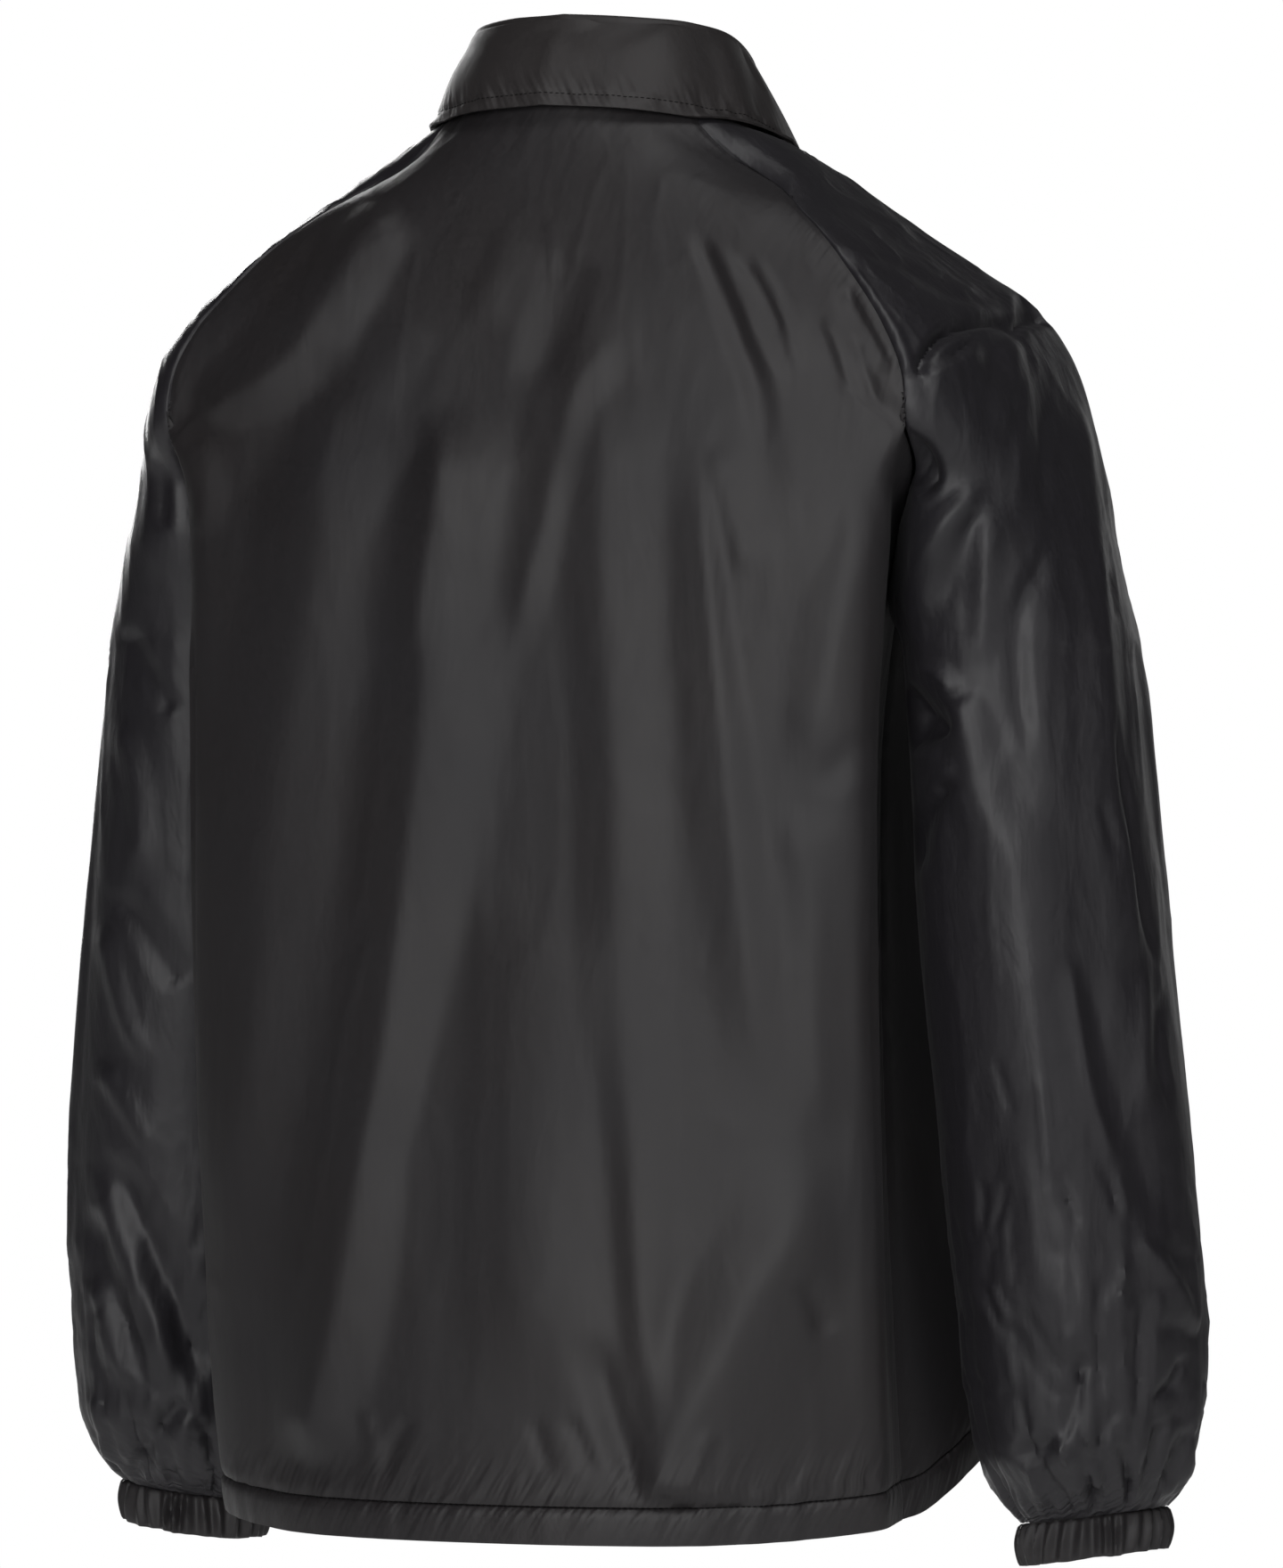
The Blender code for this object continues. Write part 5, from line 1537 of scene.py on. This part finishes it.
@dataclass
class Body:
    """The back panel, both fronts, and the hem casing sewn below them."""

    shape: Shape
    finishes: Finishes
    back_cut: Cut = Cut(0.60, 0.73, 0.40)
    front_cut: Cut = Cut(0.33, 0.66, 0.175)
    casing_proud: float = 0.55
    casing_lift: float = 0.15
    casing_tuck: float = 0.9
    casing_gap: float = 0.4
    casing_wall: float = 1.6
    casing_ease: float = 1.04
    casing_cut: float = 0.021
    stitch_lift: float = 0.12

    def build(self) -> list[bpy.types.Object]:
        """Make the panels, their casings and the hem's stitching."""
        shape = self.shape
        made = []
        halves = [shape.panels[(Face.BACK, side)] for side in (Side.RIGHT, Side.LEFT)]
        right, left = halves
        whole, normals, strain = (
            np.concatenate([getattr(right, part)[:, ::-1], getattr(left, part)[:, 1:]], axis=1)
            for part in ("points", "normals", "strain")
        )
        made += self.piece("back", whole, normals, strain, ("first", "last"), self.back_cut)
        for side in Side:
            front = shape.panels[(Face.FRONT, side)]
            points, out = self.lapped(front, side)
            edge = np.repeat(front.strain[:, :1], shape.lap_columns, axis=1)
            strain = np.concatenate([edge, front.strain], axis=1)
            made += self.piece(
                f"front_{side.value}", points, out, strain, ("last",), self.front_cut
            )
        return made

    def lapped(self, front: ClothGrid, side: Side) -> tuple[np.ndarray, np.ndarray]:
        """Extend a front past the middle, the right one underneath.

        Args:
            front: The front's cloth.
            side: Left or right.

        Returns:
            The wider grid's points and normals.
        """
        shape = self.shape
        step = unit(front.points[:, :1] - front.points[:, 1:2])
        reach = np.linspace(shape.overlap, 0, shape.lap_columns + 1)[None, :-1, None]
        lap = front.points[:, :1] + step * reach
        wide = np.concatenate([lap, front.points], axis=1)
        edge = np.repeat(front.normals[:, :1], shape.lap_columns, axis=1)
        out = np.concatenate([edge, front.normals], axis=1)
        if side is Side.RIGHT:
            away = np.abs(wide[..., 0] - shape.overlap)
            sunk = 1 - smooth((away - 2 * shape.overlap) / shape.underlap_blend)
            wide = wide - out * (sunk * shape.underlap_depth)[..., None]
        return wide, out

    def piece(
        self, name: str, grid: np.ndarray, normals: np.ndarray, strain: np.ndarray,
        edges: tuple[str, ...], cut: Cut,
    ) -> list[bpy.types.Object]:
        """Make one panel, its casing and the stitches between them.

        Args:
            name: The solid that the panel replaces.
            grid: The outer points down to the hem.
            normals: Their normals.
            strain: How strongly fine puckers show at each.
            edges: The panel's side edges that are seams.
            cut: The panel's flat cut; not used.

        Returns:
            The three pieces.
        """
        shape = self.shape
        hem = shape.hem_row + 1
        panel = shape.pulled(grid[:hem], ("top", "bottom", *edges))
        cloth = cloth_shell(
            f"{name}_cloth", panel, panel - normals[:hem] * shape.wall, strain=strain[:hem],
            straight=None if name == "back" else 0,
        )
        dress(cloth, self.finishes.cloth, (name,))
        low = shape.pulled(grid[hem - 1 :], ("top", *edges), self.casing_gap)
        across = np.linspace(0, 1, len(low))[:, None]
        proud = self.casing_proud * np.sin(np.pi * across) + self.casing_lift
        proud = proud - self.casing_tuck * (across < 0.02)
        outer = low + normals[hem - 1 :] * proud[..., None]
        inner = outer - normals[hem - 1 :] * self.casing_wall
        inner = shape.turned_under(inner, normals[hem - 1 :], ("top",))
        node = f"hem_casing_{name}"
        casing = cloth_shell(f"{node}_cloth", outer, inner, strain=strain[hem - 1 :] * 0.7)
        dress(casing, self.finishes.gathered, (node,))
        line = grid[hem - 1] + normals[hem - 1] * self.stitch_lift
        row = StitchRow(f"hem_stitches_{name}", line, self.finishes.thread, "gathered_nylon")
        return [cloth, casing, row.build()]


@dataclass
class Sleeve:
    """A raglan sleeve and its gathered elastic cuff."""

    side: Side
    shape: Shape
    finishes: Finishes
    cut: Cut = Cut(0.46, 0.76, 0.29)
    cuff_cut: Cut = Cut(0.34, 0.024)
    cuff_height: float = 21.0
    cuff_gap: float = 0.4
    cuff_radius: float = 37.5
    cuff_wall: float = 2.0
    cuff_columns: int = 300
    cuff_rows: int = 14
    cuff_ribs: int = 30
    rib_depth: float = 2.7
    rib_drift: float = 0.10
    rib_lean: float = 0.14
    rib_edge: float = 1.6
    swell: float = 1.4
    ragged: float = 0.5

    def build(self) -> list[bpy.types.Object]:
        """Make the sleeve and the cuff."""
        shape = self.shape
        cloth = shape.sleeves[self.side]
        edges = ("top", "bottom")
        grid = shape.pulled(cloth.points, edges)
        upper = shape.yoke_rows
        grid[:upper] = shape.pulled(grid[:upper], ("first", "last"))
        inner = grid - cloth.normals * shape.wall
        inner[:upper] = shape.turned_under(inner[:upper], cloth.normals[:upper], ("first", "last"))
        name = f"sleeve_{self.side.value}"
        piece = cloth_shell(
            f"{name}_cloth", grid, inner, weld_from=upper, strain=cloth.strain
        )
        dress(piece, self.finishes.sleeve, (name,))
        return [piece, self.cuff()]

    def cuff(self) -> bpy.types.Object:
        """The cuff: cloth gathered over elastic in uneven upright ribs."""
        end = RINGS.at(np.array(CUFF_LEVEL))
        turns = np.linspace(0, 2 * math.pi, self.cuff_columns + 1)
        drops = np.linspace(0, 1, self.cuff_rows + 1)[:, None]
        uneven = self.shape.rumple
        seed = 11.0 if self.side is Side.LEFT else 77.0
        ring = np.stack([np.cos(turns) * 30 + seed, np.sin(turns) * 30, turns * 0], axis=-1)
        top, bottom = drops < 0.03, drops > 0.97
        drift = uneven.at(ring, (11.0, 11.0, 9.0)) * self.rib_drift
        lean = uneven.at(ring + 30.0, (12.0, 12.0, 9.0)) * self.rib_lean
        phase = (turns + drift)[None] * self.cuff_ribs + (drops - 0.5) * lean[None] * self.cuff_ribs
        strong = 0.70 + 0.45 * uneven.at(ring + 60.0, (7.0, 7.0, 9.0))[None]
        rib = self.rib_depth * strong * (1 - 2 * np.abs(np.cos(phase / 2)) ** self.rib_edge)
        swell = self.swell * np.sin(np.pi * drops) - 1.2 * top - 0.5 * bottom
        reach = self.cuff_radius + rib * (0.55 + 0.45 * np.sin(np.pi * np.clip(drops, 0.02, 0.98)))
        reach = reach + swell
        ragged = self.ragged * uneven.at(ring + 90.0, (6.0, 6.0, 9.0))[None] * bottom
        down = end["z"] + end["out_z"] * np.cos(turns)[None] - self.cuff_gap
        down = down - drops * self.cuff_height
        outer = np.stack([
            end["x"] + reach * np.cos(turns),
            end["y"] + reach * np.sin(turns),
            down + ragged + reach * 0,
        ], axis=-1)
        out = np.stack([np.cos(turns), np.sin(turns), turns * 0], axis=-1)[None]
        inner = outer - out * self.cuff_wall
        mirror = np.array((self.side.sign, 1, 1))
        node = f"cuff_{self.side.value}"
        made = cloth_shell(f"{node}_cloth", outer * mirror, inner * mirror, weld_from=0)
        return dress(made, self.finishes.gathered, (node,))


@dataclass
class Collar:
    """The turned-down pointed collar, with its topstitching."""

    shape: Shape
    finishes: Finishes
    columns: int = 150
    wall: float = 1.2
    lift: float = -2.5
    tuck: float = 1.6
    clear: float = 4.0
    fold_radius: float = 2.6
    opening: float = 5.0
    stitch_in: float = 6.5
    fullness: float = 2.6
    stand_rows: int = 12
    fold_rows: int = 9
    leaf_rows: int = 40
    cut: Cut = Cut(0.50, 0.135)

    def neck_point(self, angle: float) -> np.ndarray:
        """The point of the panels' neck edge at an angle in plan."""
        body = self.shape.body
        edge = np.concatenate([
            body.half_row(0.0, Face.BACK, 40)[:-1],
            self.shape.arm.grid(np.array([0.0]), 40)[0][::-1],
            body.half_row(0.0, Face.FRONT, 40)[::-1][1:],
        ])
        turns = np.degrees(np.arctan2(edge[:, 1], edge[:, 0]))
        at = np.interp(-angle, -turns, np.arange(len(edge)))
        return np.array([np.interp(at, np.arange(len(edge)), edge[:, k]) for k in range(3)])

    def section(self, angle: float) -> np.ndarray:
        """One section: up the stand, over the fold and down the leaf."""
        row = {name: float(value) for name, value in COLLAR.at(np.array(angle)).items()}
        foot = self.neck_point(angle)
        foot = foot + np.array((0, 0, self.lift)) - unit(foot * np.array((1, 1, 0))) * self.tuck
        if angle < -80:
            foot[0] = max(foot[0], self.opening)
        top = np.array((row["fold_x"], row["fold_y"], row["fold_z"]))
        edge = np.array((row["edge_x"], row["edge_y"], row["edge_z"]))
        out = unit(np.array((edge[0] - top[0], edge[1] - top[1], 0)))
        rise = np.array((0, 0, 1.0))
        stand = np.linspace(0, 0.94, self.stand_rows)[:, None]
        line = [foot + (top - foot) * stand - out * self.fold_radius * stand]
        turned = np.radians(np.linspace(90, -90, self.fold_rows))[:, None]
        line.append(
            top - out * self.fold_radius * np.sin(turned) + rise * self.fold_radius * np.cos(turned)
        )
        start = line[-1][-1]
        t = np.linspace(0, 1, self.leaf_rows + 1)[1:, None]
        belly = row["belly"] + self.fullness * max(0.0, math.sin(math.radians(angle)))
        line.append(start + (edge - start) * t + out * belly * np.sin(np.pi * t))
        return np.concatenate(line)

    def clear_of_panels(self, half: np.ndarray) -> np.ndarray:
        """Lift the leaf's points so that it lies on the shoulders and not in them."""
        levels = np.linspace(0, 0.6, 46)
        body = self.shape.body
        surfaces = [self.shape.arm.grid(levels, 60)]
        surfaces += [body.grid(levels, face, 60) for face in Face]
        ups = [facing(normals_of(s), s - np.array((0, 0, -300.0))) for s in surfaces]
        points = np.concatenate([surface.reshape(-1, 3) for surface in surfaces])
        ways = np.concatenate([up.reshape(-1, 3) for up in ups])
        lifted = half.copy()
        for row in lifted:
            for point in row[self.stand_rows + self.fold_rows :]:
                nearest = int(np.argmin(((points - point) ** 2).sum(axis=1)))
                above = float((point - points[nearest]) @ ways[nearest])
                point += ways[nearest] * max(0.0, self.clear - above)
        return lifted

    def build(self) -> list[bpy.types.Object]:
        """Make the collar and its stitching."""
        angles = np.linspace(-90, 90, self.columns // 2 + 1)
        half = self.clear_of_panels(np.array([self.section(angle) for angle in angles]))
        right = half[::-1] * np.array((-1, 1, 1))
        grid = np.concatenate([half, right[1:]], axis=0).transpose(1, 0, 2)
        normals = normals_of(grid)
        middle = grid.shape[1] // 2
        if normals[-2, middle, 1] < 0:
            normals = -normals
        moved = grid + normals * self.creases(grid)[..., None]
        from_edge = along_columns(grid)[-1:] - along_columns(grid)
        strain = np.exp(-(((from_edge - self.stitch_in) / 9.0) ** 2))
        made = cloth_shell("collar_cloth", moved, moved - normals * self.wall, strain=strain)
        dress(made, self.finishes.collar, ("collar",))
        return [made, self.stitches(moved, normals)]

    def creases(self, grid: np.ndarray) -> np.ndarray:
        """The collar's small puckers, its stitched groove and the bend over the shoulder."""
        from_edge = along_columns(grid)[-1:] - along_columns(grid)
        around = along_rows(grid)[-1:] * np.ones((len(grid), 1))
        leaf = (np.arange(len(grid)) >= self.stand_rows + self.fold_rows)[:, None]
        place = np.stack([around, from_edge * 0.5, around * 0], axis=-1)
        puckers = 0.9 * self.shape.rumple.at(place, (6.5, 14.0, 9.0))
        near = np.exp(-((from_edge - self.stitch_in) / 8.0) ** 2)
        groove = -0.7 * np.exp(-(((from_edge - self.stitch_in) / 1.3) ** 2))
        bends = 0.7 * self.shape.rumple.at(place + 200.0, (26.0, 20.0, 9.0))
        bends = bends + folds_lift(COLLAR_SEEN, *seen_at(grid)) * (grid[..., 1] > 0)
        held = smooth(from_edge / 3.0)
        return np.where(leaf, (puckers * near + groove + bends) * held, 0.25 * bends)

    def stitches(self, grid: np.ndarray, normals: np.ndarray) -> bpy.types.Object:
        """Topstitching a little above the leaf's edge."""
        from_edge = along_columns(grid)[-1:] - along_columns(grid)
        line = []
        for column in range(2, grid.shape[1] - 2):
            depth = from_edge[::-1, column]
            spot = [np.interp(self.stitch_in, depth, grid[::-1, column, k]) for k in range(3)]
            way = [np.interp(self.stitch_in, depth, normals[::-1, column, k]) for k in range(3)]
            line.append(np.array(spot) + np.array(way) * 0.05)
        row = StitchRow("collar_stitches", np.array(line), self.finishes.thread, "nylon")
        return row.build()


@dataclass
class SnapRow:
    """Domed snap caps down the left front."""

    shape: Shape
    finishes: Finishes
    heights: tuple[float, ...] = (-88.0, -221.0, -354.0, -487.0, -620.0)
    radius: float = 7.5
    dome: float = 2.2
    seat_gap: float = 0.36
    turns: int = 48

    def build(self) -> list[bpy.types.Object]:
        """Make a detailed cap in place of each plain one."""
        middle = self.shape.body.grid(np.linspace(0, 2, 241), Face.FRONT, 4)[:, 0]
        made = []
        for number, height in enumerate(self.heights, start=1):
            nearest = int(np.argmin(np.abs(middle[:, 2] - height)))
            way = unit(middle[nearest + 1] - middle[nearest - 1])
            out = np.array((0, way[2], -way[1]))
            out = out if out[1] < 0 else -out
            made.append(self.cap(number, middle[nearest] + out * self.seat_gap, out, way))
        return made

    def cap(self, number: int, seat: np.ndarray, out: np.ndarray, way: np.ndarray) -> bpy.types.Object:
        """A turned cap: a rolled rim, a shallow ring and a low dome.

        Args:
            number: The cap's number from the top.
            seat: The middle of its underside.
            out: The way that it faces.
            way: A way along the front.

        Returns:
            The cap, which replaces its plain solid.
        """
        aside = np.cross(out, way)
        profile = np.array((
            (0.10, 1.00), (0.30, 0.985), (0.50, 0.94), (0.66, 0.87), (0.74, 0.80), (0.77, 0.70),
            (0.80, 0.68), (0.84, 0.74), (0.90, 0.72), (0.96, 0.58), (0.995, 0.36), (1.0, 0.18),
            (0.97, 0.04), (0.90, 0.0),
        )) * np.array((self.radius, self.dome))
        turn = np.linspace(0, 2 * math.pi, self.turns, endpoint=False)
        round_it = np.cos(turn)[:, None] * aside + np.sin(turn)[:, None] * way
        rings = seat + profile[:, :1, None] * round_it + profile[:, 1:, None] * out
        points = np.concatenate([[seat + out * self.dome], rings.reshape(-1, 3), [seat]])
        faces: list[tuple[int, ...]] = []
        last = len(points) - 1
        for step in range(self.turns):
            after = (step + 1) % self.turns
            faces.append((0, 1 + after, 1 + step))
            for ring in range(len(profile) - 1):
                low, high = 1 + ring * self.turns, 1 + (ring + 1) * self.turns
                faces.append((low + step, low + after, high + after, high + step))
            base = 1 + (len(profile) - 1) * self.turns
            faces.append((base + step, base + after, last))
        made = link_mesh(f"snap_{number}", points, faces)
        made.data.materials.append(self.finishes.snap)
        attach(made, "root")
        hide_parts(f"snap_cap_{number}")
        return made


@dataclass(frozen=True)
class Studio:
    """A plain pale room, soft lights, and the camera behind the jacket's right shoulder."""

    floor_z: float = -1.05
    floor_radius: float = 4.0
    room_light: float = 0.012

    def build(self) -> None:
        """Set the room, the lights and the camera."""
        self.room()
        self.lights()
        self.camera()

    def room(self) -> None:
        """A round pale floor below the jacket."""
        turn = np.linspace(0, 2 * math.pi, 96, endpoint=False)
        across, along = self.floor_radius * np.cos(turn), self.floor_radius * np.sin(turn)
        rim = np.stack([across, along, turn * 0 + self.floor_z], axis=1)
        floor = link_mesh("studio_floor", rim / MM, [tuple(range(len(rim)))])
        paint, build, shader = new_finish("pale_floor")
        build.feed(shader, {"Base Color": (0.86, 0.86, 0.86, 1), "Roughness": 0.9})
        floor.data.materials.append(paint)

    def lights(self) -> None:
        """Broad soft lights: one beside the camera, the others above, beside and opposite it."""
        scene = bpy.context.scene
        scene.view_settings.view_transform = "Standard"
        scene.world = scene.world or bpy.data.worlds.new("studio")
        scene.world.use_nodes = True
        build = GroupBuilder(scene.world.node_tree)
        seen = build.tree.nodes["Background"]
        build.feed(seen, {"Color": (1, 1, 1, 1)})
        dim = build.node("ShaderNodeBackground", {
            "Color": (1, 1, 1, 1), "Strength": self.room_light,
        })
        mixed = build.node("ShaderNodeMixShader", {
            "Fac": build.node("ShaderNodeLightPath").outputs["Is Camera Ray"],
            1: dim.outputs["Background"],
            2: seen.outputs["Background"],
        })
        build.feed(build.tree.nodes["World Output"], {"Surface": mixed.outputs["Shader"]})
        front = view_way()
        right = np.array((-front[1], front[0], 0.0))
        up = np.array((0, 0, 1.0))
        for name, place, size, power in (
            ("key", front * 3.2 - right * 0.8 + up * 0.45, 2.0, 50.0),
            ("top", front * 1.7 + right * 0.5 + up * 3.0, 1.7, 42.0),
            ("front", -front * 3.2 - right * 0.6 + up * 0.4, 1.8, 85.0),
            ("left", -front * 3.0 - right * 1.5 + up * 0.3, 1.6, 5.0),
            ("right", -front * 3.0 + right * 1.5 + up * 0.3, 1.6, 5.0),
            ("side", front * 2.7 + right * 2.2 + up * 0.3, 1.6, 12.0),
        ):
            lamp = bpy.data.lights.new(name, "AREA")
            lamp.shape = "DISK"
            lamp.size = size
            lamp.energy = power
            made = put(name, lamp)
            made.location = Vector(place)
            aim = Vector((0, 0, -0.3)) - made.location
            made.rotation_euler = aim.to_track_quat("-Z", "Y").to_euler()

    def camera(self) -> None:
        """The camera at the photograph's angle, level, 6 m away."""
        lens = bpy.data.cameras.new("camera")
        lens.sensor_fit = "HORIZONTAL"
        lens.sensor_width = 36.0
        wide, high = FRAME_SIZE
        lens.lens = lens.sensor_width * VIEW_DISTANCE / (wide * VIEW_STEP)
        lens.shift_x = (wide / 2 - VIEW_AXIS[0]) / wide
        lens.shift_y = (VIEW_AXIS[1] - VIEW_HEIGHT / VIEW_STEP - high / 2) / wide
        lens.clip_end = 60.0
        made = put("camera", lens)
        way = view_way()
        made.location = Vector(way * VIEW_DISTANCE * MM) + Vector((0, 0, VIEW_HEIGHT * MM))
        made.rotation_euler = Vector(-way).to_track_quat("-Z", "Y").to_euler()
        bpy.context.scene.camera = made


def main() -> None:
    """Dress the whole jacket and set its studio."""
    logging.basicConfig(level=logging.INFO, format="%(message)s")
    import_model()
    Studio().build()
    finishes = Finishes()
    shape = Shape()
    pieces = Body(shape, finishes).build()
    for side in Side:
        pieces += Sleeve(side, shape, finishes).build()
    pieces += Collar(shape, finishes).build()
    pieces += SnapRow(shape, finishes).build()
    for piece in pieces:
        LOG.info("built %s", piece.name)


if __name__ == "__main__":
    main()
